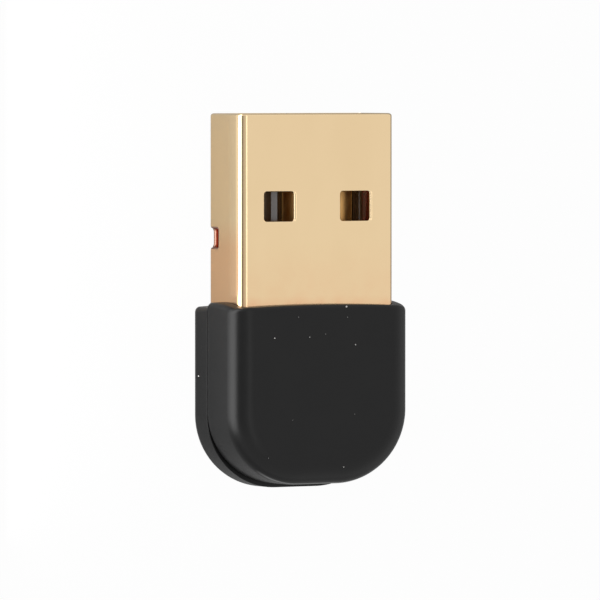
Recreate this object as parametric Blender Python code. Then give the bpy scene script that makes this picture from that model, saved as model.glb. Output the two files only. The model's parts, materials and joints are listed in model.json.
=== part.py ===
"""A short wireless adapter with a type A plug, lying on the flat back of its casing.

Metres, +Z up. X runs across the plug, +Y runs out of the casing to the plug's tip, and the back of
the casing rests on Z = 0. The origin is on that plane, under the middle of the whole length.
"""

import math

import bmesh
import bpy
from mathutils import Vector

MM = 0.001

# Plug shell, folded from one sheet to the standard type A section
PLUG_WIDTH = 12.0 * MM
PLUG_HEIGHT = 4.5 * MM
SHEET = 0.3 * MM
PLUG_BEND = 0.65 * MM  # outer radius of the four folds
PLUG_REACH = 12.42 * MM  # from the crown of the casing's plug end to the tip
PLUG_TAIL = 2.9 * MM  # from that crown back to the shell's inner end
TIP_ROUND = 0.15 * MM  # lead-in rolled on the tip's outer edge
WINDOW_WIDTH = 2.5 * MM
WINDOW_LENGTH = 2.0 * MM
WINDOW_RADIUS = 0.25 * MM
WINDOW_PITCH = 6.0 * MM  # between the two windows of one face
WINDOW_SETBACK = 5.24 * MM  # from the tip to the windows
LATCH_SETBACK = 7.81 * MM  # from the tip to the two cut-outs over the back folds
LATCH_LENGTH = 1.22 * MM
LATCH_HEIGHT = 1.48 * MM  # up the side, from the shell's back
LATCH_REACH = 0.76 * MM  # across the back, from the shell's side
LATCH_RADIUS = 0.3 * MM
SLIT = 0.06 * MM  # the seam where the folded sheet's edges meet
KEY_WIDTH = 0.9 * MM
KEY_LENGTH = 1.6 * MM
KEY_FLARE = 0.25 * MM
KEY_SETBACKS = (4.2 * MM, 10.4 * MM)  # from the tip to the middle of each dovetail key
TAB_LENGTH = 1.8 * MM  # the two ears that hold the board's edges
TAB_HEIGHT = 1.5 * MM

# Casing, two moulded halves
SIDE_WALL = 0.84 * MM
BACK_WALL = 0.67 * MM
FRONT_WALL = 0.86 * MM
CASING_LENGTH = 12.41 * MM  # of the front half, from its rounded end to the crown of its plug end
COVER_OFFSET = 0.22 * MM  # how far the back half's rounded end reaches past the front half's
RIM_OFFSET = 0.35 * MM  # how far the back half's plug end stays behind the front half's crown
END_RADIUS_ACROSS = 5.3 * MM  # corners of the rounded end, which are slightly elliptical
END_RADIUS_ALONG = 4.95 * MM
RIM_CORNER = 0.35 * MM  # corners of the plug end
RIM_BOW_WIDE = 120.0 * MM  # the plug end is crowned: its radius across the width
RIM_BOW_DEEP = 8.2 * MM  # and, on the front half, its radius up the sides
RIM_WALL = 1.2 * MM
FRONT_ROUND_IN = 1.6 * MM  # the front edge's rounding, measured across the front face
FRONT_ROUND_DEEP = 1.4 * MM  # and measured down the side
FRONT_RIM_ROUND = 0.25 * MM
BACK_ROUND = 0.87 * MM
BACK_RIM_ROUND = 0.3 * MM
SEAM_HEIGHT = 2.27 * MM
SEAM_GAP = 0.05 * MM
SEAM_BREAK = 0.08 * MM  # small bevel on both sides of the parting line
HOLLOW_ROUND = 0.4 * MM
LIP_THICKNESS = 0.35 * MM
LIP_HEIGHT = 0.5 * MM
STOP_THICKNESS = 0.5 * MM  # ribs behind the shell that take the push of plugging in
STOP_HEIGHT = 1.0 * MM
POST_RADIUS = 0.6 * MM
PIN_RADIUS = 0.3 * MM
PIN_LENGTH = 1.5 * MM  # above the board's underside
POST_MARGIN = 0.95 * MM  # from the board's round corner in to the pins

# Insulator and contacts
BLOCK_SETBACK = 11.75 * MM  # from the tip to the block that closes the plug's hollow
TONGUE_MARGIN = 0.15 * MM  # from the shell's inside to the tongue's sides
TONGUE_THICKNESS = 1.85 * MM
TONGUE_SETBACK = 0.5 * MM  # from the tip to the tongue's end
TONGUE_LEAD = 0.3 * MM
TONGUE_DROP = 0.05 * MM  # step between the block's and the tongue's back faces
CONTACT_WIDTH = 1.0 * MM
CONTACT_THICKNESS = 0.2 * MM
CONTACT_SINK = 0.04 * MM  # how far the contacts lie below the tongue's face
CONTACT_LEAD = 1.0 * MM  # from the tongue's end to the power contacts
DATA_LEAD = 2.0 * MM  # from the tongue's end to the data contacts, which meet later
CONTACT_INNER = 1.0 * MM  # centre of the data contacts
CONTACT_OUTER = 3.5 * MM  # centre of the power contacts
TAIL_WIDTH = 0.6 * MM
TAIL_LENGTH = 1.0 * MM

# Circuit board and what is soldered to it
BOARD_THICKNESS = 0.8 * MM
CHIP_SIDE = 3.5 * MM
CHIP_HEIGHT = 0.85 * MM
CHIP_BREAK = 0.08 * MM
CHIP_DIMPLE = 0.25 * MM
CRYSTAL = Vector((1.6 * MM, 2.0 * MM, 0.5 * MM))
CRYSTAL_LID = 0.15 * MM  # how far the lid sits in from the base
MEMORY = Vector((1.4 * MM, 1.3 * MM, 0.5 * MM))
REGULATOR = Vector((2.9 * MM, 1.3 * MM, 1.0 * MM))
LEAD_PITCH = 0.95 * MM  # from the regulator's middle to its outer leads
LEAD_WIDTH = 0.4 * MM
LEAD_THICKNESS = 0.15 * MM
LEAD_REACH = 0.5 * MM
LARGE_CHIP = Vector((1.6 * MM, 0.8 * MM, 0.8 * MM))
SMALL_CHIP = Vector((1.0 * MM, 0.5 * MM, 0.5 * MM))
RESISTOR = Vector((1.0 * MM, 0.5 * MM, 0.35 * MM))
TERMINAL_SHARE = 0.25
TERMINAL_STEP = 0.03 * MM
PART_SPACING = 0.15 * MM
ANTENNA_TRACE = 0.2 * MM
ANTENNA_THICKNESS = 0.06 * MM
ANTENNA_MARGIN = 0.44 * MM  # from the posts in to the trace
ANTENNA_TURNS = 5

# Clearances
PLUG_FIT = 0.05 * MM  # shell in casing
LIP_FIT = 0.05 * MM
INSULATOR_FIT = 0.05 * MM  # insulator in shell
CONTACT_FIT = 0.04 * MM  # contact in insulator
SOLDER_GAP = 0.03 * MM  # board to what stands on it
BOARD_FIT = 0.15 * MM  # board in casing
PIN_FIT = 0.06 * MM

# Fineness of the round stretches
CORNER_STEPS = 14
RIM_STEPS = 4
BOW_STEPS = 8
ROUND_STEPS = 7
SIDE_STEPS = 3
BEND_STEPS = 6
POST_SIDES = 16
CUT_PAST = 0.5 * MM  # how far a cutter runs past what it cuts

# Heights and places that follow
PLUG_BACK = BACK_WALL + PLUG_FIT
PLUG_MIDDLE = PLUG_BACK + PLUG_HEIGHT / 2
PLUG_FRONT = PLUG_BACK + PLUG_HEIGHT
CEILING = PLUG_FRONT + PLUG_FIT
CASING_DEPTH = CEILING + FRONT_WALL
HOLLOW_HALF = PLUG_WIDTH / 2 + PLUG_FIT
CASING_HALF = HOLLOW_HALF + SIDE_WALL

BACK_END = -(COVER_OFFSET + CASING_LENGTH + PLUG_REACH) / 2
FRONT_END = BACK_END + COVER_OFFSET
FRONT_CROWN = FRONT_END + CASING_LENGTH
BACK_CROWN = FRONT_CROWN - RIM_OFFSET
TIP = FRONT_CROWN + PLUG_REACH
SHELL_END = FRONT_CROWN - PLUG_TAIL
HOLLOW_END = FRONT_END + SIDE_WALL
HOLLOW_RIM = BACK_CROWN - RIM_WALL
HOLLOW_RADIUS_ACROSS = END_RADIUS_ACROSS - SIDE_WALL
HOLLOW_RADIUS_ALONG = END_RADIUS_ALONG - SIDE_WALL

BLOCK_FRONT = TIP - BLOCK_SETBACK
BLOCK_HALF = PLUG_WIDTH / 2 - SHEET - INSULATOR_FIT
BLOCK_BACK = PLUG_BACK + SHEET + INSULATOR_FIT
BLOCK_TOP = PLUG_FRONT - SHEET - INSULATOR_FIT
TONGUE_BACK = BLOCK_BACK + TONGUE_DROP
TONGUE_FACE = TONGUE_BACK + TONGUE_THICKNESS
TONGUE_END = TIP - TONGUE_SETBACK
CONTACT_TOP = TONGUE_FACE - CONTACT_SINK
CONTACT_BACK = CONTACT_TOP - CONTACT_THICKNESS

BOARD_TOP = CONTACT_BACK - SOLDER_GAP
BOARD_BACK = BOARD_TOP - BOARD_THICKNESS
BOARD_FRONT = SHELL_END - BOARD_FIT
BOARD_END = HOLLOW_END + BOARD_FIT
BOARD_HALF = HOLLOW_HALF - BOARD_FIT
BOARD_RADIUS_ACROSS = HOLLOW_RADIUS_ACROSS - BOARD_FIT
BOARD_RADIUS_ALONG = HOLLOW_RADIUS_ALONG - BOARD_FIT
BOARD_NECK = PLUG_WIDTH / 2 - SHEET - BOARD_FIT
TAIL_END = BOARD_FRONT - TAIL_LENGTH
POST_TURN = math.radians(35)  # how far round the board's corner the pins stand
POST_X = BOARD_HALF - BOARD_RADIUS_ACROSS + (BOARD_RADIUS_ACROSS - POST_MARGIN) * math.cos(POST_TURN)
POST_Y = BOARD_END + BOARD_RADIUS_ALONG - (BOARD_RADIUS_ALONG - POST_MARGIN) * math.sin(POST_TURN)


def clear_scene():
    for obj in list(bpy.data.objects):
        bpy.data.objects.remove(obj, do_unlink=True)


def finish_of(name, colour, roughness, metallic=0.0):
    """A Principled material with one colour, given as linear red, green and blue."""
    surface = bpy.data.materials.new(name)
    surface.use_nodes = True
    shader = surface.node_tree.nodes["Principled BSDF"]
    shader.inputs["Base Color"].default_value = (*colour, 1.0)
    shader.inputs["Roughness"].default_value = roughness
    shader.inputs["Metallic"].default_value = metallic
    surface.diffuse_color = (*colour, 1.0)
    return surface


def piece(name, bm, surface):
    """Turns a bmesh into a named object, with its faces pointing out and only real edges sharp."""
    bmesh.ops.recalc_face_normals(bm, faces=bm.faces)
    mesh = bpy.data.meshes.new(name)
    bm.to_mesh(mesh)
    bm.free()
    if surface:
        mesh.materials.append(surface)
    mesh.shade_smooth()
    mesh.set_sharp_from_angle(angle=math.radians(32))
    obj = bpy.data.objects.new(name, mesh)
    bpy.context.scene.collection.objects.link(obj)
    return obj


def helper(name, bm):
    """A shape that only cuts or joins: it shows as wire and is not part of the product."""
    obj = piece(name, bm, None)
    obj.hide_render = True
    obj.display_type = "WIRE"
    return obj


def combine(target, other, operation):
    step = target.modifiers.new(other.name, "BOOLEAN")
    step.operation = operation
    step.solver = "EXACT"
    step.object = other


def arc(centre_u, centre_v, radius_u, start, stop, steps, radius_v=None):
    """Points of an arc, by angles in degrees. A second radius makes it elliptical."""
    radius_v = radius_u if radius_v is None else radius_v
    points = []
    for k in range(steps + 1):
        angle = math.radians(start + (stop - start) * k / steps)
        points.append((centre_u + radius_u * math.cos(angle), centre_v + radius_v * math.sin(angle)))
    return points


def u_outline(half, low, radius_across, radius_along, plug_end):
    """An outline with a rounded low end, closed by the points given for its plug end."""
    shift = half - radius_across
    centre = low + radius_along
    right = arc(shift, centre, radius_across, -90, 0, CORNER_STEPS, radius_along)
    left = arc(-shift, centre, radius_across, 180, 270, CORNER_STEPS, radius_along)
    return right + plug_end + left


def rounded_rectangle(low_u, high_u, low_v, high_v, radius, steps):
    """Outline of a rectangle with round corners, anticlockwise from its low right corner."""
    return (
        arc(high_u - radius, low_v + radius, radius, -90, 0, steps)
        + arc(high_u - radius, high_v - radius, radius, 0, 90, steps)
        + arc(low_u + radius, high_v - radius, radius, 90, 180, steps)
        + arc(low_u + radius, low_v + radius, radius, 180, 270, steps)
    )


def along(axis, place, outline):
    """Sets a flat outline in space, across the given axis at the given place."""
    if axis == "X":
        return [Vector((place, u, v)) for u, v in outline]
    if axis == "Y":
        return [Vector((u, place, v)) for u, v in outline]
    return [Vector((u, v, place)) for u, v in outline]


def loft(bm, rings, closed_round=False):
    """Skins rings of equal point counts. The ends are capped, or joined when closed_round is set."""
    loops = [[bm.verts.new(point) for point in ring] for ring in rings]
    pairs = list(zip(loops, loops[1:]))
    if closed_round:
        pairs.append((loops[-1], loops[0]))
    else:
        bm.faces.new(loops[0])
        bm.faces.new(loops[-1])
    for lower, upper in pairs:
        for k in range(len(lower)):
            following = (k + 1) % len(lower)
            bm.faces.new((lower[k], lower[following], upper[following], upper[k]))


def prism(bm, axis, start, stop, outline):
    loft(bm, [along(axis, start, outline), along(axis, stop, outline)])


def box(bm, low, high):
    outline = [(low[0], low[1]), (high[0], low[1]), (high[0], high[1]), (low[0], high[1])]
    prism(bm, "Z", low[2], high[2], outline)


def turned(bm, x, y, profile):
    """A round solid about a vertical axis, from (radius, height) pairs."""
    rings = []
    for radius, height in profile:
        circle = arc(x, y, radius, 0, 360 - 360 / POST_SIDES, POST_SIDES - 1)
        rings.append(along("Z", height, circle))
    loft(bm, rings)


def ribbon(path, width):
    """Outline of a band of even width along an open path of (u, v) points, with mitred turns."""
    points = [Vector(point) for point in path]
    directions = [(b - a).normalized() for a, b in zip(points, points[1:])]
    normals = [Vector((-d.y, d.x)) for d in directions]
    first, last = normals[0], normals[-1]
    turns = [first] + [(a + b) / (1 + a.dot(b)) for a, b in zip(normals, normals[1:])] + [last]
    left = [point + turn * width / 2 for point, turn in zip(points, turns)]
    right = [point - turn * width / 2 for point, turn in zip(points, turns)]
    return [(p.x, p.y) for p in left + right[::-1]]


def round_in(height, edge, radius):
    """How far an outline draws in at a height, on a rounding that starts below the edge."""
    climb = min(max(height - (edge - radius), 0.0), radius)
    return radius - math.sqrt(radius * radius - climb * climb)


def casing_ring(height, end, rim, inset):
    """One level of a casing half: a U whose plug end bows out across the width.

    inset draws the sides and the rounded end in, and rim is the plug end's crown at this level.
    """
    half = CASING_HALF - inset
    corner = RIM_CORNER
    plug_end = arc(half - corner, rim - corner, corner, 0, 90, RIM_STEPS)
    for k in range(1, BOW_STEPS):
        plug_end.append(((half - corner) * (1 - 2 * k / BOW_STEPS), rim))
    plug_end += arc(corner - half, rim - corner, corner, 90, 180, RIM_STEPS)
    bowed = [(x, y - x * x / (2 * RIM_BOW_WIDE)) for x, y in plug_end]
    outline = u_outline(half, end + inset, END_RADIUS_ACROSS - inset, END_RADIUS_ALONG - inset, bowed)
    return along("Z", height, outline)


def hollow_ring(height, grow, rim_grow=0.0):
    """One level of the space inside the casing, grown outwards at the sides or at the plug end."""
    half = HOLLOW_HALF + grow
    rim = HOLLOW_RIM + rim_grow
    across = HOLLOW_RADIUS_ACROSS + grow
    lengthwise = HOLLOW_RADIUS_ALONG + grow
    outline = u_outline(half, HOLLOW_END - grow, across, lengthwise, [(half, rim), (-half, rim)])
    return along("Z", height, outline)


def hollow_edge(face, direction):
    """Levels of the hollow's rounded edge, towards its floor or its ceiling."""
    rings = []
    for k in range(RIM_STEPS + 1):
        angle = math.radians(90 * k / RIM_STEPS)
        height = face - direction * HOLLOW_ROUND * (1 - math.sin(angle))
        inset = HOLLOW_ROUND * (1 - math.cos(angle))
        rings.append(hollow_ring(height, -inset, -inset))
    return rings


def plug_section(grow):
    """The plug's outer section in X and Z, grown or drawn in by an even amount."""
    half = PLUG_WIDTH / 2 + grow
    return rounded_rectangle(
        -half, half, PLUG_BACK - grow, PLUG_FRONT + grow, PLUG_BEND + grow, BEND_STEPS
    )


def plug_opening():
    bm = bmesh.new()
    prism(bm, "Y", HOLLOW_RIM - HOLLOW_ROUND, FRONT_CROWN + CUT_PAST, plug_section(PLUG_FIT))
    return helper("plug_opening", bm)


def front_cover(surface, opening):
    """The front half: fully rounded edges, and a rebate that takes the back half's lip."""
    seam = SEAM_HEIGHT + SEAM_GAP / 2
    bm = bmesh.new()
    levels = [(seam, SEAM_BREAK, SEAM_BREAK)]
    foot = seam + SEAM_BREAK
    straight = CASING_DEPTH - FRONT_ROUND_DEEP - foot
    for k in range(SIDE_STEPS):
        levels.append((foot + straight * k / SIDE_STEPS, 0.0, 0.0))
    for k in range(ROUND_STEPS + 1):
        angle = math.radians(90 * k / ROUND_STEPS)
        height = CASING_DEPTH - FRONT_ROUND_DEEP * (1 - math.sin(angle))
        inset = FRONT_ROUND_IN * (1 - math.cos(angle))
        levels.append((height, inset, round_in(height, CASING_DEPTH, FRONT_RIM_ROUND)))
    rings = []
    for height, inset, rim_inset in levels:
        bow = (min(height, CEILING) - PLUG_MIDDLE) ** 2 / (2 * RIM_BOW_DEEP)
        rings.append(casing_ring(height, FRONT_END, FRONT_CROWN - bow - rim_inset, inset))
    loft(bm, rings)
    cover = piece("front_cover", bm, surface)

    bm = bmesh.new()
    low = seam - CUT_PAST
    loft(bm, [hollow_ring(low, 0)] + hollow_edge(CEILING, 1))
    combine(cover, helper("front_hollow", bm), "DIFFERENCE")

    bm = bmesh.new()
    wide = LIP_THICKNESS + LIP_FIT
    top = SEAM_HEIGHT + LIP_HEIGHT + LIP_FIT
    loft(bm, [hollow_ring(low, wide, LIP_FIT), hollow_ring(top, wide, LIP_FIT)])
    combine(cover, helper("lip_rebate", bm), "DIFFERENCE")
    combine(cover, opening, "DIFFERENCE")

    bm = bmesh.new()
    root = CEILING + FRONT_WALL / 2
    foot = BOARD_TOP + SOLDER_GAP
    socket = PIN_RADIUS + PIN_FIT
    depth = BOARD_BACK + PIN_LENGTH + PIN_FIT
    profile = [(POST_RADIUS, root), (POST_RADIUS, foot), (socket, foot), (socket, depth)]
    for side in (-1, 1):
        turned(bm, side * POST_X, POST_Y, profile)
    stop = SHELL_END - PLUG_FIT
    half = PLUG_WIDTH / 2 - PLUG_BEND
    box(bm, (-half, stop - STOP_THICKNESS, CEILING - STOP_HEIGHT), (half, stop, root))
    combine(cover, helper("front_ribs", bm), "UNION")
    return cover


def rear_cover(surface, opening):
    """The back half: a flat back, a lip round the seam, and posts under the board."""
    seam = SEAM_HEIGHT - SEAM_GAP / 2
    bm = bmesh.new()
    rings = []
    for k in range(ROUND_STEPS + 1):
        angle = math.radians(90 * (1 - k / ROUND_STEPS))
        height = BACK_ROUND * (1 - math.sin(angle))
        inset = BACK_ROUND * (1 - math.cos(angle))
        rim_inset = round_in(-height, 0.0, BACK_RIM_ROUND)
        rings.append(casing_ring(height, BACK_END, BACK_CROWN - rim_inset, inset))
    rings.append(casing_ring(seam - SEAM_BREAK, BACK_END, BACK_CROWN, 0.0))
    rings.append(casing_ring(seam, BACK_END, BACK_CROWN - SEAM_BREAK, SEAM_BREAK))
    loft(bm, rings)
    cover = piece("rear_cover", bm, surface)

    bm = bmesh.new()
    top = SEAM_HEIGHT + LIP_HEIGHT
    root = (BACK_WALL + SEAM_HEIGHT) / 2
    loft(bm, [hollow_ring(root, LIP_THICKNESS), hollow_ring(top, LIP_THICKNESS)])
    combine(cover, helper("lip", bm), "UNION")

    bm = bmesh.new()
    loft(bm, hollow_edge(BACK_WALL, -1)[::-1] + [hollow_ring(top + CUT_PAST, 0)])
    combine(cover, helper("back_hollow", bm), "DIFFERENCE")
    combine(cover, opening, "DIFFERENCE")

    bm = bmesh.new()
    root = BACK_WALL / 2
    shoulder = BOARD_BACK - SOLDER_GAP
    profile = [
        (POST_RADIUS, root),
        (POST_RADIUS, shoulder),
        (PIN_RADIUS, shoulder),
        (PIN_RADIUS, BOARD_BACK + PIN_LENGTH),
    ]
    for side in (-1, 1):
        turned(bm, side * POST_X, POST_Y, profile)
    stop = SHELL_END - PLUG_FIT
    half = PLUG_WIDTH / 2 - PLUG_BEND
    box(bm, (-half, stop - STOP_THICKNESS, root), (half, stop, shoulder))
    combine(cover, helper("back_ribs", bm), "UNION")
    return cover


def key_path():
    """The seam's line up the back of the shell, with a dovetail key at each setback."""
    path = [(0.0, SHELL_END - CUT_PAST)]
    for setback in sorted(KEY_SETBACKS, reverse=True):
        low = TIP - setback - KEY_LENGTH / 2
        high = TIP - setback + KEY_LENGTH / 2
        path += [(0.0, low + KEY_FLARE), (KEY_WIDTH, low), (KEY_WIDTH, high), (0.0, high - KEY_FLARE)]
    path.append((0.0, TIP + CUT_PAST))
    return path


def plug_shell(surface):
    """The folded sheet: windows on both faces, cut-outs over the back folds, seam and ears."""
    bm = bmesh.new()
    rings = [along("Y", SHELL_END, plug_section(0))]
    for k in range(RIM_STEPS + 1):
        angle = math.radians(90 * k / RIM_STEPS)
        inset = TIP_ROUND * (1 - math.cos(angle))
        place = TIP - TIP_ROUND * (1 - math.sin(angle))
        rings.append(along("Y", place, plug_section(-inset)))
    rings.append(along("Y", TIP, plug_section(-SHEET)))
    rings.append(along("Y", SHELL_END, plug_section(-SHEET)))
    loft(bm, rings, closed_round=True)
    shell = piece("plug_shell", bm, surface)

    bm = bmesh.new()
    high = TIP - WINDOW_SETBACK
    for side in (-1, 1):
        middle = side * WINDOW_PITCH / 2
        outline = rounded_rectangle(
            middle - WINDOW_WIDTH / 2,
            middle + WINDOW_WIDTH / 2,
            high - WINDOW_LENGTH,
            high,
            WINDOW_RADIUS,
            RIM_STEPS,
        )
        prism(bm, "Z", PLUG_BACK - CUT_PAST, PLUG_FRONT + CUT_PAST, outline)
    combine(shell, helper("windows", bm), "DIFFERENCE")

    bm = bmesh.new()
    high = TIP - LATCH_SETBACK
    outline = rounded_rectangle(
        high - LATCH_LENGTH,
        high,
        PLUG_BACK - CUT_PAST,
        PLUG_BACK + LATCH_HEIGHT,
        LATCH_RADIUS,
        RIM_STEPS,
    )
    outer = PLUG_WIDTH / 2 + CUT_PAST
    inner = PLUG_WIDTH / 2 - LATCH_REACH
    for side in (-1, 1):
        prism(bm, "X", side * inner, side * outer, outline)
    combine(shell, helper("latch_cuts", bm), "DIFFERENCE")

    bm = bmesh.new()
    prism(bm, "Z", PLUG_BACK - CUT_PAST, PLUG_BACK + CUT_PAST, ribbon(key_path(), SLIT))
    combine(shell, helper("seam", bm), "DIFFERENCE")

    bm = bmesh.new()
    middle = (BOARD_TOP + BOARD_BACK) / 2
    for side in (-1, 1):
        outer = side * PLUG_WIDTH / 2
        inner = side * (PLUG_WIDTH / 2 - SHEET)
        low = (min(inner, outer), SHELL_END - TAB_LENGTH, middle - TAB_HEIGHT / 2)
        high = (max(inner, outer), SHELL_END + SHEET, middle + TAB_HEIGHT / 2)
        box(bm, low, high)
    combine(shell, helper("ears", bm), "UNION")
    return shell


def contact_places():
    """Name, centre and lead of the four contacts, from -X to +X."""
    return (
        ("contact_ground", -CONTACT_OUTER, CONTACT_LEAD),
        ("contact_data_plus", -CONTACT_INNER, DATA_LEAD),
        ("contact_data_minus", CONTACT_INNER, DATA_LEAD),
        ("contact_power", CONTACT_OUTER, CONTACT_LEAD),
    )


def plug_insulator(surface):
    """The moulded block that closes the plug, with the tongue that carries the contacts."""
    block_end = SHELL_END + INSULATOR_FIT
    bend = PLUG_BEND - SHEET
    edge = bend / 2
    half = PLUG_WIDTH / 2 - SHEET - TONGUE_MARGIN
    nose_half = half - TONGUE_LEAD
    nose_back = TONGUE_BACK + TONGUE_LEAD
    nose_face = TONGUE_FACE - TONGUE_LEAD
    block = rounded_rectangle(-BLOCK_HALF, BLOCK_HALF, BLOCK_BACK, BLOCK_TOP, bend, 1)
    tongue = rounded_rectangle(-half, half, TONGUE_BACK, TONGUE_FACE, edge, 1)
    nose = rounded_rectangle(-nose_half, nose_half, nose_back, nose_face, edge, 1)
    bm = bmesh.new()
    rings = [
        along("Y", block_end, block),
        along("Y", BLOCK_FRONT, block),
        along("Y", BLOCK_FRONT, tongue),
        along("Y", TONGUE_END - TONGUE_LEAD, tongue),
        along("Y", TONGUE_END, nose),
    ]
    loft(bm, rings)
    insulator = piece("plug_insulator", bm, surface)

    bm = bmesh.new()
    floor = CONTACT_BACK - CONTACT_FIT
    roof = CONTACT_TOP + CONTACT_FIT
    above = TONGUE_FACE + CUT_PAST
    for _, middle, lead in contact_places():
        head = TONGUE_END - lead + CONTACT_FIT
        tail = block_end - CUT_PAST
        groove = [
            (tail, floor),
            (head, floor),
            (head, above),
            (BLOCK_FRONT, above),
            (BLOCK_FRONT, roof),
            (tail, roof),
        ]
        wide = CONTACT_WIDTH / 2 + CONTACT_FIT
        prism(bm, "X", middle - wide, middle + wide, groove)
    combine(insulator, helper("grooves", bm), "DIFFERENCE")

    bm = bmesh.new()
    high = TIP - LATCH_SETBACK + INSULATOR_FIT
    low = high - LATCH_LENGTH - 2 * INSULATOR_FIT
    inner = PLUG_WIDTH / 2 - LATCH_REACH
    outer = PLUG_WIDTH / 2
    for side in (-1, 1):
        ends = sorted((side * inner, side * outer))
        box(bm, (ends[0], low, BLOCK_BACK - CUT_PAST), (ends[1], high, TONGUE_FACE + CUT_PAST))
    combine(insulator, helper("latch_reliefs", bm), "DIFFERENCE")
    return insulator


def contact(name, middle, lead, surface):
    """A flat contact strip with a bevelled head and a narrower soldering tail."""
    head = TONGUE_END - lead
    step = SHELL_END
    wide = CONTACT_WIDTH / 2
    narrow = TAIL_WIDTH / 2
    nose = CONTACT_THICKNESS
    outline = [
        (middle - narrow, TAIL_END),
        (middle + narrow, TAIL_END),
        (middle + narrow, step),
        (middle + wide, step),
        (middle + wide, head - nose),
        (middle + wide - nose, head),
        (middle - wide + nose, head),
        (middle - wide, head - nose),
        (middle - wide, step),
        (middle - narrow, step),
    ]
    bm = bmesh.new()
    prism(bm, "Z", CONTACT_BACK, CONTACT_TOP, outline)
    return piece(name, bm, surface)


def circuit_board(surface):
    """The board: rounded like the casing, with a neck between the shell's ears and two pin holes."""
    shoulder = SHELL_END - TAB_LENGTH - BOARD_FIT
    neck = [
        (BOARD_HALF, shoulder),
        (BOARD_NECK, shoulder),
        (BOARD_NECK, BOARD_FRONT),
        (-BOARD_NECK, BOARD_FRONT),
        (-BOARD_NECK, shoulder),
        (-BOARD_HALF, shoulder),
    ]
    outline = u_outline(BOARD_HALF, BOARD_END, BOARD_RADIUS_ACROSS, BOARD_RADIUS_ALONG, neck)
    bm = bmesh.new()
    prism(bm, "Z", BOARD_BACK, BOARD_TOP, outline)
    board = piece("circuit_board", bm, surface)

    bm = bmesh.new()
    hole = PIN_RADIUS + PIN_FIT
    for side in (-1, 1):
        turned(bm, side * POST_X, POST_Y, [(hole, BOARD_BACK - CUT_PAST), (hole, BOARD_TOP + CUT_PAST)])
    combine(board, helper("pin_holes", bm), "DIFFERENCE")
    return board


def sits_at(height_of_part, underside):
    """Low and high Z of a part on the board's front, or under its back when underside is set."""
    if underside:
        high = BOARD_BACK - SOLDER_GAP
        return high - height_of_part, high
    low = BOARD_TOP + SOLDER_GAP
    return low, low + height_of_part


def terminal_chip(name, size, x, y, surface, underside=False):
    """A resistor, capacitor or inductor: a body between two slightly larger end terminals."""
    low, high = sits_at(size.z, underside)
    terminal = size.x * TERMINAL_SHARE
    step = TERMINAL_STEP
    half = size.y / 2
    capped = [(y - half, low), (y + half, low), (y + half, high), (y - half, high)]
    bare = [
        (y - half + step, low + step),
        (y + half - step, low + step),
        (y + half - step, high - step),
        (y - half + step, high - step),
    ]
    left = x - size.x / 2
    right = x + size.x / 2
    bm = bmesh.new()
    rings = [
        along("X", left, capped),
        along("X", left + terminal, capped),
        along("X", left + terminal, bare),
        along("X", right - terminal, bare),
        along("X", right - terminal, capped),
        along("X", right, capped),
    ]
    loft(bm, rings)
    return piece(name, bm, surface)


def moulded_chip(name, size, x, y, surface):
    """A flat chip with its top edges eased and a round first-pin dimple."""
    low, high = sits_at(size.z, False)
    levels = ((0.0, low), (0.0, high - CHIP_BREAK), (CHIP_BREAK, high))
    rings = []
    for inset, height in levels:
        half_x = size.x / 2 - inset
        half_y = size.y / 2 - inset
        corners = [
            (x - half_x, y - half_y),
            (x + half_x, y - half_y),
            (x + half_x, y + half_y),
            (x - half_x, y + half_y),
        ]
        rings.append(along("Z", height, corners))
    bm = bmesh.new()
    loft(bm, rings)
    chip = piece(name, bm, surface)

    bm = bmesh.new()
    inset = 2 * CHIP_DIMPLE
    dimple_x = x - size.x / 2 + inset
    dimple_y = y + size.y / 2 - inset
    turned(bm, dimple_x, dimple_y, [(CHIP_DIMPLE, high - CHIP_BREAK), (CHIP_DIMPLE, high + CUT_PAST)])
    combine(chip, helper(name + "_dimple", bm), "DIFFERENCE")
    return chip


def crystal(x, y, surface):
    """The clock crystal: a ceramic base with a smaller welded lid."""
    low, high = sits_at(CRYSTAL.z, False)
    middle = (low + high) / 2
    half_x = CRYSTAL.x / 2
    half_y = CRYSTAL.y / 2
    rings = []
    for inset, height in ((0.0, low), (0.0, middle), (CRYSTAL_LID, middle), (CRYSTAL_LID, high)):
        wide = half_x - inset
        long = half_y - inset
        outline = rounded_rectangle(x - wide, x + wide, y - long, y + long, CRYSTAL_LID, RIM_STEPS)
        rings.append(along("Z", height, outline))
    bm = bmesh.new()
    loft(bm, rings)
    return piece("crystal", bm, surface)


def voltage_regulator(x, y, surface):
    """A three-lead regulator: a moulded body on folded leads, two on one side and one on the other."""
    low, high = sits_at(REGULATOR.z, False)
    half = REGULATOR.y / 2
    bm = bmesh.new()
    underside = low + LEAD_THICKNESS / 2
    wide = REGULATOR.x / 2
    box(bm, (x - wide, y - half, underside), (x + wide, y + half, high))
    regulator = piece("voltage_regulator", bm, surface)

    bm = bmesh.new()
    middle = (low + high) / 2
    spread = LEAD_PITCH
    for side, offset in ((-1, -spread), (-1, spread), (1, 0.0)):
        root = y + side * (half - LEAD_THICKNESS)
        knee = y + side * (half + LEAD_REACH / 2)
        toe = y + side * (half + LEAD_REACH)
        fold = knee - side * LEAD_THICKNESS
        outline = [
            (root, middle),
            (fold, middle),
            (fold, low),
            (toe, low),
            (toe, low + LEAD_THICKNESS),
            (knee, low + LEAD_THICKNESS),
            (knee, middle + LEAD_THICKNESS),
            (root, middle + LEAD_THICKNESS),
        ]
        prism(bm, "X", x + offset - LEAD_WIDTH / 2, x + offset + LEAD_WIDTH / 2, outline)
    combine(regulator, helper("leads", bm), "UNION")
    return regulator


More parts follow.
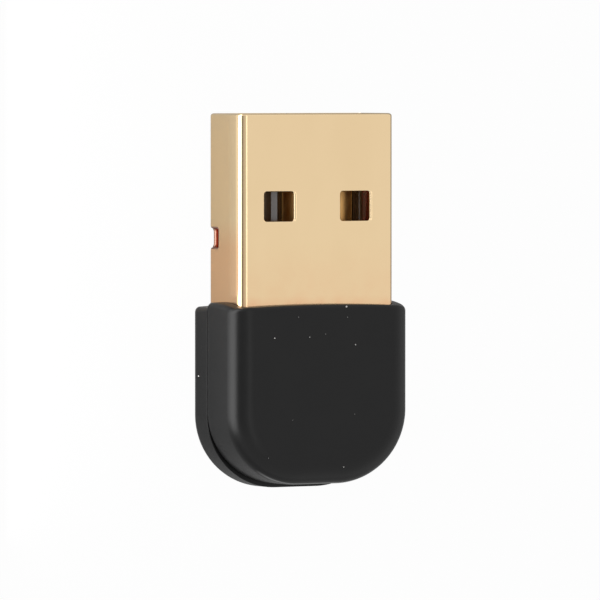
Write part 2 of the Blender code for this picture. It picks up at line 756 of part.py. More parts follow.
def antenna(top, surface):
    """The folded trace at the rounded end of the board, made by a loop of equal turns."""
    bottom = BOARD_END + ANTENNA_TRACE + BOARD_FIT
    half = POST_X - POST_RADIUS - ANTENNA_MARGIN - ANTENNA_TRACE / 2
    pitch = 2 * half / (2 * ANTENNA_TURNS - 1)
    low = bottom + ANTENNA_TRACE / 2
    high = top - ANTENNA_TRACE / 2
    path = []
    for k in range(2 * ANTENNA_TURNS):
        x = -half + k * pitch
        ends = [(x, low), (x, high)]
        path += ends if k % 2 else ends[::-1]
    bm = bmesh.new()
    base = BOARD_TOP + SOLDER_GAP
    prism(bm, "Z", base, base + ANTENNA_THICKNESS, ribbon(path, ANTENNA_TRACE))
    return piece("antenna", bm, surface)


def board_parts(chip_black, ceramic, resistor_black, crystal_metal, copper):
    """Everything on the board: a middle row from the contact tails to the antenna, a column on each side,
    and the smallest parts under the chip.
    """
    gap = PART_SPACING
    chip_y = TAIL_END - gap - CHIP_SIDE / 2
    matching_y = chip_y - CHIP_SIDE / 2 - gap - SMALL_CHIP.y / 2
    column = CHIP_SIDE / 2 + 2 * gap
    resistor_y = TAIL_END - gap - RESISTOR.y / 2
    decoupling_y = resistor_y - RESISTOR.y / 2 - gap - SMALL_CHIP.y / 2

    moulded_chip("radio_chip", Vector((CHIP_SIDE, CHIP_SIDE, CHIP_HEIGHT)), 0.0, chip_y, chip_black)
    terminal_chip("matching_inductor", SMALL_CHIP, 0.0, matching_y, ceramic)

    bead_x = column + LARGE_CHIP.x / 2
    bead_y = TAIL_END - gap - LARGE_CHIP.y / 2
    terminal_chip("ferrite_bead", LARGE_CHIP, bead_x, bead_y, resistor_black)
    crystal_y = bead_y - LARGE_CHIP.y / 2 - 2 * gap - SMALL_CHIP.y - CRYSTAL.y / 2
    crystal(column + CRYSTAL.x / 2, crystal_y, crystal_metal)
    beside = CRYSTAL.y / 2 + gap + SMALL_CHIP.y / 2
    load_x = column + SMALL_CHIP.x / 2
    terminal_chip("load_capacitor_1", SMALL_CHIP, load_x, crystal_y + beside, ceramic)
    terminal_chip("load_capacitor_2", SMALL_CHIP, load_x, crystal_y - beside, ceramic)
    antenna(min(matching_y, crystal_y - beside) - SMALL_CHIP.y / 2 - gap, copper)

    regulator_x = -column - REGULATOR.x / 2
    regulator_y = TAIL_END - gap - REGULATOR.y / 2 - LEAD_REACH
    voltage_regulator(regulator_x, regulator_y, chip_black)
    memory_y = regulator_y - REGULATOR.y / 2 - LEAD_REACH - gap - MEMORY.y / 2
    moulded_chip("memory_chip", MEMORY, -column - MEMORY.x / 2, memory_y, chip_black)

    for name, side in (("data_resistor_plus", -1), ("data_resistor_minus", 1)):
        x = side * CONTACT_INNER
        terminal_chip(name, RESISTOR, x, resistor_y, resistor_black, underside=True)
    for name, side in (("decoupling_capacitor_1", -1), ("decoupling_capacitor_2", 1)):
        x = side * CONTACT_INNER
        terminal_chip(name, SMALL_CHIP, x, decoupling_y, ceramic, underside=True)
    for name, side in (("input_capacitor", -1), ("output_capacitor", 1)):
        x = side * (column + LARGE_CHIP.x / 2)
        terminal_chip(name, LARGE_CHIP, x, regulator_y, ceramic, underside=True)


def build():
    clear_scene()
    gold = finish_of("plug_gold", (0.80, 0.62, 0.37), 0.22, 1.0)
    contact_gold = finish_of("contact_gold", (0.83, 0.60, 0.28), 0.25, 1.0)
    casing_black = finish_of("casing_black", (0.022, 0.022, 0.023), 0.5)
    insulator_black = finish_of("insulator_black", (0.012, 0.012, 0.013), 0.45)
    laminate = finish_of("board_green", (0.012, 0.10, 0.035), 0.4)
    chip_black = finish_of("chip_black", (0.018, 0.018, 0.02), 0.6)
    ceramic = finish_of("ceramic_tan", (0.42, 0.27, 0.15), 0.5)
    resistor_black = finish_of("resistor_black", (0.03, 0.03, 0.035), 0.45)
    crystal_metal = finish_of("crystal_metal", (0.62, 0.60, 0.56), 0.3, 1.0)
    copper = finish_of("antenna_copper", (0.86, 0.62, 0.30), 0.35, 1.0)

    opening = plug_opening()
    front_cover(casing_black, opening)
    rear_cover(casing_black, opening)
    plug_shell(gold)
    plug_insulator(insulator_black)
    for name, middle, lead in contact_places():
        contact(name, middle, lead, contact_gold)
    circuit_board(laminate)
    board_parts(chip_black, ceramic, resistor_black, crystal_metal, copper)


build()
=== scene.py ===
# %% [markdown]
# # A very short wireless adapter
#
# The real thing is 25 mm long: a plug folded from one gold-plated sheet, standing out of a black casing that is
# moulded in two halves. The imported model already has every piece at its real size, so this script dresses it.
# It remakes every piece that shows finely, gives each surface a material made of nodes, and sets up the camera
# and the light of a plain studio photograph. X runs across the plug, +Y towards its tip, and +Z is the outward
# normal of the front face. All lengths are metres.

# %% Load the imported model
import json
import math

import bmesh
import bpy
from mathutils import Matrix, Vector


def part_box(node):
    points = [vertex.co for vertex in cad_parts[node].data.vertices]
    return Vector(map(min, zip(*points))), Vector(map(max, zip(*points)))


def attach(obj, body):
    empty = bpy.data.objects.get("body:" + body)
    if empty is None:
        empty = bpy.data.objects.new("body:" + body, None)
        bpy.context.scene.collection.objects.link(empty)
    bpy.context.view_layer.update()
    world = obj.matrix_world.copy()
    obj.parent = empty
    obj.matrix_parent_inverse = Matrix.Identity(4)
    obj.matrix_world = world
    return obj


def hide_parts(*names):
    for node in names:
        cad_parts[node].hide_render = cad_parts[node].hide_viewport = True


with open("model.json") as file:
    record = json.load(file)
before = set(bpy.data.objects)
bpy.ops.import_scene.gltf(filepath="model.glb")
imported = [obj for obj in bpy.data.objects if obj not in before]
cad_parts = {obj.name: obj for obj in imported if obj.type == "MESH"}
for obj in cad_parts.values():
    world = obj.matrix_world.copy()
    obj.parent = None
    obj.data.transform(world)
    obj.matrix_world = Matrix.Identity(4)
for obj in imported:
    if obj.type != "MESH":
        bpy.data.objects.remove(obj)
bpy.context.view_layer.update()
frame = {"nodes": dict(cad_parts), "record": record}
MM = 0.001
print("pieces in the packed model:", len(frame["nodes"]))

# %% [markdown]
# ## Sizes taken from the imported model
#
# A dressed piece has to stay exactly where its plain one is. So the places are read off the boxes of the packed
# pieces, and only what a box can't tell, such as the sheet's thickness or a radius, is written here.

# %% Read the places of the large pieces
shell_low, shell_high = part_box("plug_shell")
front_low, front_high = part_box("front_cover")
rear_low, rear_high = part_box("rear_cover")

PLUG_HALF = shell_high.x
PLUG_FRONT = shell_high.z
PLUG_BACK = shell_low.z
PLUG_MIDDLE = (PLUG_FRONT + PLUG_BACK) / 2
TIP = shell_high.y
EAR_LENGTH = 1.8 * MM  # two ears at the shell's inner end hold the board's edges
SHELL_END = shell_low.y + EAR_LENGTH
CASING_HALF = front_high.x
CASING_DEPTH = front_high.z
FRONT_END = front_low.y + 0.03 * MM  # the back half stands out a little below the front half
BACK_END = rear_low.y - 0.05 * MM
BACK_CROWN = rear_high.y
print("plug in mm:", round(2 * PLUG_HALF / MM, 2), "x", round((PLUG_FRONT - PLUG_BACK) / MM, 2))

# %% Write down the sizes that a box can't tell
SHEET = 0.3 * MM
PLUG_BEND = 0.65 * MM  # outer radius of the folds
PLUG_REACH = 12.42 * MM  # from the crown of the casing's plug end to the tip
FRONT_CROWN = TIP - PLUG_REACH
TIP_ROUND = 0.15 * MM  # how far the tip's outer edge is rolled in
SHEET_EASE = (0.2 * MM, 0.13 * MM)  # rolled edge of every punched outline, along the sheet and into it
SLIT = 0.06 * MM
PLUG_FIT = 0.05 * MM  # gap between plug and casing
SEAM_HEIGHT = 2.27 * MM
SEAM_GAP = 0.08 * MM
SEAM_BREAK = 0.03 * MM
CUT_PAST = 1 * MM  # how far a cutter reaches past what it cuts

# %% [markdown]
# ## A few bmesh helpers
#
# Every shape below is built from flat outlines that are stacked and skinned, the way a pattern maker lays out
# sections. An arc gives the rounded stretches, and one loft function skins the sections.

# %% Outline and loft helpers
def arc(centre, radii, start, stop, steps):
    """Points of an elliptical arc, by angles in degrees."""
    points = []
    for k in range(steps + 1):
        angle = math.radians(start + (stop - start) * k / steps)
        points.append((centre[0] + radii[0] * math.cos(angle), centre[1] + radii[1] * math.sin(angle)))
    return points


def rounded_rectangle(low, high, radius, steps):
    """Outline of a rectangle with round corners, anticlockwise."""
    radii = (radius, radius)
    left, right = low[0] + radius, high[0] - radius
    bottom, top = low[1] + radius, high[1] - radius
    return (
        arc((right, bottom), radii, -90, 0, steps)
        + arc((right, top), radii, 0, 90, steps)
        + arc((left, top), radii, 90, 180, steps)
        + arc((left, bottom), radii, 180, 270, steps)
    )


def add_object(name, data):
    """Puts a mesh, a curve, a lamp or a camera into the scene, at the origin."""
    obj = bpy.data.objects.new(name, data)
    bpy.context.scene.collection.objects.link(obj)
    return obj


def mesh_piece(name, bm, material=None):
    """Turns a bmesh into an object, with its faces pointing out."""
    bmesh.ops.recalc_face_normals(bm, faces=bm.faces)
    mesh = bpy.data.meshes.new(name)
    bm.to_mesh(mesh)
    bm.free()
    if material:
        mesh.materials.append(material)
    return add_object(name, mesh)


def loft(name, rings, material=None):
    """Skins rings that all have as many points, and caps both ends."""
    bm = bmesh.new()
    loops = [[bm.verts.new(point) for point in ring] for ring in rings]
    bm.faces.new(loops[0])
    bm.faces.new(loops[-1])
    for lower, upper in zip(loops, loops[1:]):
        for k in range(len(lower)):
            following = (k + 1) % len(lower)
            bm.faces.new((lower[k], lower[following], upper[following], upper[k]))
    return mesh_piece(name, bm, material)


def flat_card(name, corners, material):
    """One flat face."""
    bm = bmesh.new()
    bm.faces.new([bm.verts.new(corner) for corner in corners])
    return mesh_piece(name, bm, material)


def weld(bm, distance):
    """Makes one point of points that lie closer together than a distance."""
    bmesh.ops.remove_doubles(bm, verts=bm.verts, dist=distance)


# %% Helpers that apply a modifier and finish a mesh
def bake(obj):
    """Replaces an object's mesh by what its modifiers make of it."""
    depsgraph = bpy.context.evaluated_depsgraph_get()
    baked = bpy.data.meshes.new_from_object(obj.evaluated_get(depsgraph), depsgraph=depsgraph)
    obj.modifiers.clear()
    obj.data = baked


def boolean(target, cutter, operation="DIFFERENCE"):
    """Cuts one object with another, or joins it, and removes the second."""
    step = target.modifiers.new(cutter.name, "BOOLEAN")
    step.operation = operation
    step.solver = "EXACT"
    step.object = cutter
    bake(target)
    bpy.data.objects.remove(cutter)


def smooth(obj, degrees=35):
    """Shades an object smooth but for its real edges, with flat faces kept flat."""
    obj.data.shade_smooth()
    obj.data.set_sharp_from_angle(angle=math.radians(degrees))
    weighted = obj.modifiers.new("weighted", "WEIGHTED_NORMAL")
    weighted.keep_sharp = True
    bake(obj)


# %% [markdown]
# ## Node helpers
#
# A material here is a short chain: noise read in the object's own coordinates, a range that turns it into a
# colour, a roughness or a height, and the Principled shader. These helpers keep each chain readable. They add
# one node each, or a few that always go together, and return a socket that the next one takes.

# %% Node helpers
def new_material(name):
    """A material, its tree and its Principled shader."""
    material = bpy.data.materials.new(name)
    material.use_nodes = True
    return material, material.node_tree, material.node_tree.nodes["Principled BSDF"]


def node(tree, kind, values=None, **settings):
    """Adds a node, sets its properties, and fills or links its inputs."""
    made = tree.nodes.new(kind)
    for name, value in settings.items():
        setattr(made, name, value)
    for socket, value in (values or {}).items():
        if isinstance(value, bpy.types.NodeSocket):
            tree.links.new(value, made.inputs[socket])
        else:
            made.inputs[socket].default_value = value
    return made


def noise(tree, grain, detail=2.0, stretch=(1.0, 1.0, 1.0)):
    """Noise with a grain size in metres, which may be longer along one axis."""
    place = node(tree, "ShaderNodeTexCoord").outputs["Object"]
    scale = [1 / (grain * s) for s in stretch]
    mapped = node(tree, "ShaderNodeMapping", {"Vector": place, "Scale": scale}).outputs[0]
    values = {"Vector": mapped, "Scale": 1.0, "Detail": detail, "Roughness": 0.55}
    return node(tree, "ShaderNodeTexNoise", values).outputs["Fac"]


def object_place(tree):
    """The object's own coordinates, as the sockets X, Y and Z."""
    return node(tree, "ShaderNodeSeparateXYZ", {0: node(tree, "ShaderNodeTexCoord").outputs["Object"]}).outputs


def calculated(tree, operation, *values):
    """What one math node makes of its values."""
    return node(tree, "ShaderNodeMath", dict(enumerate(values)), operation=operation).outputs[0]


def product(tree, first, *others):
    """Two or more values multiplied."""
    for other in others:
        first = calculated(tree, "MULTIPLY", first, other)
    return first


def spread(tree, value, low, high, start=0.35, stop=0.65):
    """Maps what lies between start and stop, as most noise does, to the range from low to high."""
    values = {"Value": value, "From Min": start, "From Max": stop, "To Min": low, "To Max": high}
    return node(tree, "ShaderNodeMapRange", values).outputs["Result"]


def blend(tree, factor, first, second):
    """Mixes two colours by a factor."""
    made = node(tree, "ShaderNodeMix", data_type="RGBA")
    tree.links.new(factor, made.inputs["Factor"])
    for index, colour in ((6, first), (7, second)):
        if isinstance(colour, bpy.types.NodeSocket):
            tree.links.new(colour, made.inputs[index])
        else:
            made.inputs[index].default_value = (*colour, 1.0)
    return made.outputs[2]


def bump(tree, layers):
    """Chains bump nodes, one for each (height, strength, distance), and returns the last normal."""
    normal = None
    for height, strength, distance in layers:
        values = {"Height": height, "Strength": strength, "Distance": distance}
        if normal:
            values["Normal"] = normal
        normal = node(tree, "ShaderNodeBump", values).outputs["Normal"]
    return normal


def wire(tree, tones, colours, roughness, layers, metallic=0.0):
    """Fills the Principled shader: two colours mixed by a noise, a roughness socket and layers of relief."""
    inputs = tree.nodes["Principled BSDF"].inputs
    tree.links.new(blend(tree, spread(tree, tones, 0.0, 1.0), *colours), inputs["Base Color"])
    tree.links.new(roughness, inputs["Roughness"])
    tree.links.new(bump(tree, layers), inputs["Normal"])
    inputs["Metallic"].default_value = metallic


def recolour(tree, share, colour):
    """Mixes one more colour over what the Principled shader's colour is so far."""
    socket = tree.nodes["Principled BSDF"].inputs["Base Color"]
    tree.links.new(blend(tree, share, socket.links[0].from_socket, colour), socket)


# %% [markdown]
# ## Worn edges
#
# An edge wears before a face does: gold is rubbed bright there, and matt plastic is polished. A material can't
# see where an edge is, so each fine mesh carries that as an attribute. It is 0 on flat ground and 1 where the
# surface turns fastest, which is the turn between neighbouring faces over the way from one to the next.

# %% Write where the edges are
def mark_edges(obj, slow, fast):
    """Adds the attribute edge_wear: 0 where the surface turns slower than one rate, 1 past the other."""
    bm = bmesh.new()
    bm.from_mesh(obj.data)
    values = []
    for vertex in bm.verts:
        rate = 0.0
        for edge in vertex.link_edges:
            if len(edge.link_faces) == 2 and edge.is_convex:
                first, second = edge.link_faces
                way = (first.calc_center_median() - second.calc_center_median()).length
                rate = max(rate, edge.calc_face_angle(0.0) / max(way, 0.02 * MM))
        values.append(min(max((rate * MM - slow) / (fast - slow), 0.0), 1.0))
    bm.free()
    attribute = obj.data.attributes.new("edge_wear", "FLOAT", "POINT")
    attribute.data.foreach_set("value", values)
    print(obj.name, "worn points:", sum(value > 0.5 for value in values), "of", len(values))


def worn(tree, amount):
    """The edge attribute, broken up by noise and held to an amount."""
    edges = node(tree, "ShaderNodeAttribute", attribute_name="edge_wear").outputs["Fac"]
    return product(tree, edges, spread(tree, noise(tree, 0.25 * MM, 3.0), 0.2, 1.0), amount)


# %% [markdown]
# ## The gold plating
#
# The sheet is steel, rolled, then plated. So it is a metal with a pale gold colour, faint streaks along the
# rolling direction, a slow change of tone where the plating is thinner, and a roughness that wavers a little.
# The streaks are noise stretched along Y. Their height is far below a micron in the real sheet, so the bump is
# only strong enough to break up a reflection's edge.

# %% Material: plated sheet
PLUG_GOLD = ((0.79, 0.597, 0.356), (0.775, 0.583, 0.345))  # full plating, and thinner plating
# The contacts' darker, redder gold is painted shade for the dim inside of the shell.
SHADED_STRIP_GOLD = ((0.57, 0.33, 0.12), (0.53, 0.30, 0.105))
RUBBED_GOLD = (0.90, 0.76, 0.52)


def plated_sheet(name, colours, roughness):
    material, tree, _ = new_material(name)
    tone = noise(tree, 3.5 * MM, 2.0, (1.0, 2.5, 1.0))
    streaks = noise(tree, 0.03 * MM, 2.0, (1.0, 60.0, 1.0))
    mottle = noise(tree, 0.35 * MM, 3.0)
    satin = spread(tree, mottle, roughness * 0.85, roughness * 1.2)
    wire(tree, tone, colours, satin, [(streaks, 0.10, 0.001 * MM), (mottle, 0.03, 0.01 * MM)], 1.0)
    recolour(tree, worn(tree, 0.6), RUBBED_GOLD)
    return material


plug_gold = plated_sheet("plug_gold_plated", PLUG_GOLD, 0.11)
contact_gold = plated_sheet("contact_gold_strip_shaded", SHADED_STRIP_GOLD, 0.34)

# %% [markdown]
# Near the casing the plug is coloured redder. The tint grows over the last four millimetres towards the casing,
# most of all in the last half millimetre at the rim, and is broken up by noise.

# %% Redder tone towards the casing
CASING_END_RED = (0.76, 0.47, 0.27)
tree = plug_gold.node_tree
place = object_place(tree)
near = spread(tree, place["Y"], 0.0, 0.35, 4.0 * MM, -0.2 * MM)
rim = spread(tree, place["Y"], 0.0, 0.65, 0.35 * MM, -0.3 * MM)
patchy = spread(tree, noise(tree, 1.2 * MM, 2.0), 0.5, 1.0)
recolour(tree, product(tree, calculated(tree, "ADD", near, rim), patchy), CASING_END_RED)

# %% Redder sides, the latch cut-outs' copper-toned cut edges, and painted shade in deep red on the inner face round them
SIDE_TINGE = (0.78, 0.48, 0.265)
CUT_EDGE, INNER_RIM = 0.4, 0.85  # what the attribute latch_rim is on a cut edge, and on the inner face beside it
CUT_EDGE_RED = (0.30, 0.165, 0.12)
# The inner face's deep red is painted shade, lit only by light bounced off the gold.
INNER_RIM_SHADE_RED = (0.62, 0.10, 0.04)
RIM_DULLNESS = 0.7
on_side = spread(tree, calculated(tree, "ABSOLUTE", place["X"]), 0.0, 0.8, 5.6 * MM, 5.97 * MM)
low_down = spread(tree, place["Y"], 1.0, 0.0, 3.6 * MM, 5.4 * MM)
recolour(tree, product(tree, on_side, low_down), SIDE_TINGE)
rim_share = node(tree, "ShaderNodeAttribute", attribute_name="latch_rim").outputs["Fac"]
recolour(tree, spread(tree, rim_share, 0.0, 1.0, 0.0, CUT_EDGE), CUT_EDGE_RED)
recolour(tree, spread(tree, rim_share, 0.0, 1.0, CUT_EDGE, INNER_RIM), INNER_RIM_SHADE_RED)
socket = tree.nodes["Principled BSDF"].inputs["Roughness"]
dulled = calculated(tree, "ADD", socket.links[0].from_socket, product(tree, rim_share, RIM_DULLNESS))
tree.links.new(dulled, socket)
print("metals:", plug_gold.name, contact_gold.name)

# %% [markdown]
# ## The moulded black plastic
#
# The casing comes out of a spark-eroded mould, so its surface is a field of tiny even pits that makes it matt.
# Two layers of noise give that: a fine one for the pits and a broader one for the slight unevenness of the
# mould. The plastic is nearly black in itself. What the eye reads as dark grey is its weak, broad gloss, so
# the specular level is held low and the roughness in the middle.

# %% Material: moulded plastic
CASING_BLACK = ((0.0025, 0.0025, 0.0026), (0.0035, 0.0035, 0.0036))  # clean, and under a haze of dust
TONGUE_BLACK = ((0.080, 0.041, 0.016), (0.090, 0.048, 0.020))


def moulded_plastic(name, colours, roughness, specular, pits):
    material, tree, shader = new_material(name)
    grain = noise(tree, 0.07 * MM, 3.0)
    uneven = noise(tree, 0.9 * MM, 2.0)
    matt = spread(tree, grain, roughness * 0.9, roughness * 1.12)
    matt = calculated(tree, "ADD", matt, product(tree, worn(tree, 0.12), -1.0))
    wire(tree, noise(tree, 2.5 * MM, 4.0), colours, matt, [(uneven, 0.08, 0.02 * MM), (grain, pits, 0.006 * MM)])
    recolour(tree, worn(tree, 0.5), tuple(4 * part for part in colours[1]))
    shader.inputs["Specular IOR Level"].default_value = specular
    return material


casing_black = moulded_plastic("casing_moulded", CASING_BLACK, 0.34, 0.25, 0.35)
insulator_black = moulded_plastic("insulator_moulded", TONGUE_BLACK, 0.2, 1.0, 0.1)
insulator_black.node_tree.nodes["Principled BSDF"].inputs["IOR"].default_value = 1.62

# %% A painted highlight: a pale grey line round the casing's low end
HIGHLIGHT_LINE_HEIGHT = CASING_DEPTH - 1.03 * MM
HIGHLIGHT_LINE_HALF = 0.16 * MM
HIGHLIGHT_LINE_END = (-11.9 * MM, -11.2 * MM)  # full below the first, and gone above the second
HIGHLIGHT_LINE_GREY = (0.3, 0.3, 0.3)
tree = casing_black.node_tree
place = object_place(tree)
below = spread(tree, place["Z"], 0.0, 1.0, HIGHLIGHT_LINE_HEIGHT - HIGHLIGHT_LINE_HALF, HIGHLIGHT_LINE_HEIGHT)
above = spread(tree, place["Z"], 1.0, 0.0, HIGHLIGHT_LINE_HEIGHT, HIGHLIGHT_LINE_HEIGHT + HIGHLIGHT_LINE_HALF)
at_end = spread(tree, place["Y"], 1.0, 0.0, *HIGHLIGHT_LINE_END)
# Paints the highlight line into the casing's colour.
recolour(tree, product(tree, below, above, at_end, 0.8), HIGHLIGHT_LINE_GREY)

# %% Painted reflection: red along the tongue's sides, beside the windows, for the light the gold bounces onto them
GOLD_BOUNCE_ACROSS = (4.68 * MM, 4.86 * MM)  # grows between these
GOLD_BOUNCE_ALONG = (4.2 * MM, 4.9 * MM, 7.8 * MM, 8.5 * MM)  # grows between the first two, fades between the others
GOLD_BOUNCE_RED = (0.26, 0.018, 0.008)
tree = insulator_black.node_tree
place = object_place(tree)
beside = spread(tree, calculated(tree, "ABSOLUTE", place["X"]), 0.0, 1.0, *GOLD_BOUNCE_ACROSS)
grows = spread(tree, place["Y"], 0.0, 1.0, *GOLD_BOUNCE_ALONG[:2])
fades = spread(tree, place["Y"], 1.0, 0.0, *GOLD_BOUNCE_ALONG[2:])
recolour(tree, product(tree, beside, grows, fades), GOLD_BOUNCE_RED)
print("plastics:", casing_black.name, insulator_black.name)

# %% [markdown]
# ## The plug's shell, folded from a flat blank
#
# A press cuts the blank flat, with its windows, the latch cut-outs and two ears, and then folds it four times
# until both long edges meet on the back, where dovetail keys lock them. The same two steps make it here. A
# filled curve gives the flat blank, because a curve can have holes and eases every cut edge by itself. Then
# each point is carried round the folds. Only the side-to-side coordinate bends, so punched shapes that lie over
# a fold, such as the latch cut-outs, come out as they do on the real part.

# %% Places along the blank, measured on its outer face from the middle of the front
FLAT_HALF = PLUG_HALF - PLUG_BEND
FOLD = PLUG_BEND * math.pi / 2
SIDE_START = FLAT_HALF + FOLD
SIDE_FLAT = PLUG_FRONT - PLUG_BACK - 2 * PLUG_BEND
BACK_START = SIDE_START + SIDE_FLAT + FOLD
BLANK_HALF = BACK_START + FLAT_HALF
print("the blank is", round(2 * BLANK_HALF / MM, 2), "mm wide")


def side_place(height):
    """Where a height on the plug's side lies along the blank."""
    return SIDE_START + (PLUG_FRONT - PLUG_BEND - height)


# %% The outline of the blank and its holes
KEY_WIDTH = 0.9 * MM
KEY_LENGTH = 1.6 * MM
KEY_FLARE = 0.25 * MM
KEY_SETBACKS = (10.4 * MM, 4.2 * MM)
EAR_HEIGHT = 1.5 * MM
WINDOW = Vector((2.29, 1.97)) * MM
WINDOW_RADIUS = 0.2 * MM
WINDOW_PITCH = 5.91 * MM
WINDOW_SHIFT = -0.05 * MM  # the front windows stand a little to one side
WINDOW_SETBACK = 5.22 * MM
LATCH_SETBACK = 7.69 * MM
LATCH_LENGTH = 1.28 * MM
LATCH_HEIGHT = 1.42 * MM
LATCH_REACH = 0.42 * MM
LATCH_RADII = (0.12 * MM, 0.3 * MM)  # on the side, and on the back


def seam_edge(direction):
    """The blank's long edge from end to tip: keys stand out on one side and are cut in on the other."""
    points = [(0.0, SHELL_END)]
    for setback in KEY_SETBACKS:
        low = TIP - setback - KEY_LENGTH / 2
        high = low + KEY_LENGTH
        points += [(0.0, low + KEY_FLARE), (KEY_WIDTH, low), (KEY_WIDTH, high), (0.0, high - KEY_FLARE)]
    points.append((0.0, TIP))
    edge = []
    for k, (x, y) in enumerate(points):
        before = Vector(points[max(k - 1, 0)])
        after = Vector(points[min(k + 1, len(points) - 1)])
        here = Vector((x, y))
        arriving = (here - before).normalized() if k else (after - here).normalized()
        leaving = (after - here).normalized() if k < len(points) - 1 else arriving
        turn = Vector((arriving.y + leaving.y, -arriving.x - leaving.x)) / (1 + arriving.dot(leaving))
        moved = here + turn * direction * SLIT / 2
        edge.append((moved.x, moved.y))
    return edge


def blank_outlines():
    """The blank's outer outline, then its four windows and two latch cut-outs."""
    right = [(BLANK_HALF - x, y) for x, y in seam_edge(1)]
    left = [(-BLANK_HALF - x, y) for x, y in seam_edge(-1)]
    near, far = (side_place(PLUG_MIDDLE + side * EAR_HEIGHT / 2) for side in (1, -1))
    ear = [(near, SHELL_END), (near, SHELL_END - EAR_LENGTH), (far, SHELL_END - EAR_LENGTH), (far, SHELL_END)]
    outer = right + left[::-1] + [(-x, y) for x, y in ear[::-1]] + ear
    holes = []
    high = TIP - WINDOW_SETBACK
    for middle, shift in ((WINDOW_PITCH / 2, WINDOW_SHIFT), (BLANK_HALF - WINDOW_PITCH / 2, 0.0)):
        for side in (-1, 1):
            low_corner = (side * middle + shift - WINDOW.x / 2, high - WINDOW.y)
            high_corner = (side * middle + shift + WINDOW.x / 2, high)
            holes.append(rounded_rectangle(low_corner, high_corner, WINDOW_RADIUS, 10))
    high = TIP - LATCH_SETBACK
    inner = side_place(PLUG_BACK + LATCH_HEIGHT)
    outer_end = BLANK_HALF - (PLUG_HALF - LATCH_REACH)
    for side in (-1, 1):
        hole = []
        for place, radius, start in ((outer_end, LATCH_RADII[1], -90), (inner, LATCH_RADII[0], 90)):
            inward = -1 if place == outer_end else 1
            for y, turn in ((high - LATCH_LENGTH + radius, 0), (high - radius, 90)):
                if inward == 1:
                    y = 2 * high - LATCH_LENGTH - y
                hole += arc((place + inward * radius, y), (radius, radius), start + turn, start + turn + 90, 8)
        holes.append([(side * x, y) for x, y in hole][::side])
    return [outer] + holes


outlines = blank_outlines()
print("outlines in the blank:", len(outlines))


# %% Cut the blank
def flat_blank():
    """The flat blank as a mesh: X along its width, Y along the plug, and its outer face at Z = 0."""
    curve = bpy.data.curves.new("blank", "CURVE")
    curve.dimensions = "2D"
    curve.fill_mode = "BOTH"
    squash = SHEET_EASE[1] / SHEET_EASE[0]
    curve.extrude = (SHEET / 2 - SHEET_EASE[1]) / squash
    curve.bevel_depth = SHEET_EASE[0]
    curve.bevel_resolution = 4
    curve.offset = -SHEET_EASE[0]
    for outline in outlines:
        spline = curve.splines.new("POLY")
        spline.points.add(len(outline) - 1)
        for point, (x, y) in zip(spline.points, outline):
            point.co = (x, y, 0.0, 1.0)
        spline.use_cyclic_u = True
    obj = add_object("blank", curve)
    depsgraph = bpy.context.evaluated_depsgraph_get()
    mesh = bpy.data.meshes.new_from_object(obj.evaluated_get(depsgraph), depsgraph=depsgraph)
    bpy.data.objects.remove(obj)
    bm = bmesh.new()
    bm.from_mesh(mesh)
    bpy.data.meshes.remove(mesh)
    bmesh.ops.scale(bm, verts=bm.verts, vec=(1, 1, squash))
    weld(bm, 0.0005 * MM)
    bmesh.ops.translate(bm, verts=bm.verts, vec=(0, 0, -SHEET / 2))
    return bm


FOLD_STEPS = 18
TIP_STEPS = 5
BESIDE_HOLES = (0.26 * MM, 0.42 * MM)  # cuts that give each hole's rolled edge narrow faces of its own


def slice_for_folding(bm):
    """Cuts the faces along every line at which the sheet will bend."""
    places = []
    for start, length in ((FLAT_HALF, FOLD), (SIDE_START + SIDE_FLAT, FOLD)):
        places += [start + length * k / FOLD_STEPS for k in range(FOLD_STEPS + 1)]
    cuts = [((side * place, 0, 0), (1, 0, 0)) for place in places for side in (-1, 1)]
    cuts += [((0, TIP - TIP_ROUND * k / TIP_STEPS, 0), (0, 1, 0)) for k in range(1, TIP_STEPS + 1)]
    for outline in outlines[1:]:
        for axis in (0, 1):
            values = [point[axis] for point in outline]
            for beyond in BESIDE_HOLES:
                for place in (min(values) - beyond, max(values) + beyond):
                    cuts.append(((place, 0, 0), (1, 0, 0)) if axis == 0 else ((0, place, 0), (0, 1, 0)))
    for point, normal in cuts:
        geometry = bm.verts[:] + bm.edges[:] + bm.faces[:]
        bmesh.ops.bisect_plane(bm, geom=geometry, plane_co=point, plane_no=normal, dist=1e-9)
    weld(bm, 0.0002 * MM)


def facing(place):
    """The direction that the sheet's outer face looks in at a place, as an angle from straight up."""
    reach = min(max((abs(place) - FLAT_HALF) / PLUG_BEND, 0.0), math.pi / 2)
    reach += min(max((abs(place) - SIDE_START - SIDE_FLAT) / PLUG_BEND, 0.0), math.pi / 2)
    return reach if place > 0 else -reach


def folded(place, depth):
    """X and Z of a point of the sheet, from its place along the blank and its depth below the outer face."""
    # The sheet stands off a core, which is the plug's section less the folds' radius all round.
    core_x = min(abs(place), FLAT_HALF) - max(abs(place) - BACK_START, 0.0)
    core_z = PLUG_FRONT - PLUG_BEND - min(max(abs(place) - SIDE_START, 0.0), SIDE_FLAT)
    angle, away = abs(facing(place)), PLUG_BEND - depth
    side = -1 if place < 0 else 1
    return side * (core_x + away * math.sin(angle)), core_z + away * math.cos(angle)


def fold(bm):
    """Bends the blank, and notes for each point where its face looks and whether it is on a face at all."""
    direction = bm.verts.layers.float.new("facing")
    skin = bm.verts.layers.float.new("skin")
    for vertex in bm.verts:
        depth = -vertex.co.z
        vertex[direction] = facing(vertex.co.x)
        if vertex.co.y < TIP - TIP_ROUND - 0.001 * MM:
            vertex[skin] = 1.0 if depth < 1e-7 else -1.0 if depth > SHEET - 1e-7 else 0.0
        into_tip = min(max((vertex.co.y - (TIP - TIP_ROUND)) / TIP_ROUND, 0.0), 1.0)
        roll = TIP_ROUND * (1 - math.sqrt(1 - into_tip * into_tip))
        depth += roll * (1 - depth / SHEET)
        x, z = folded(vertex.co.x, depth)
        vertex.co = (x, vertex.co.y, z)


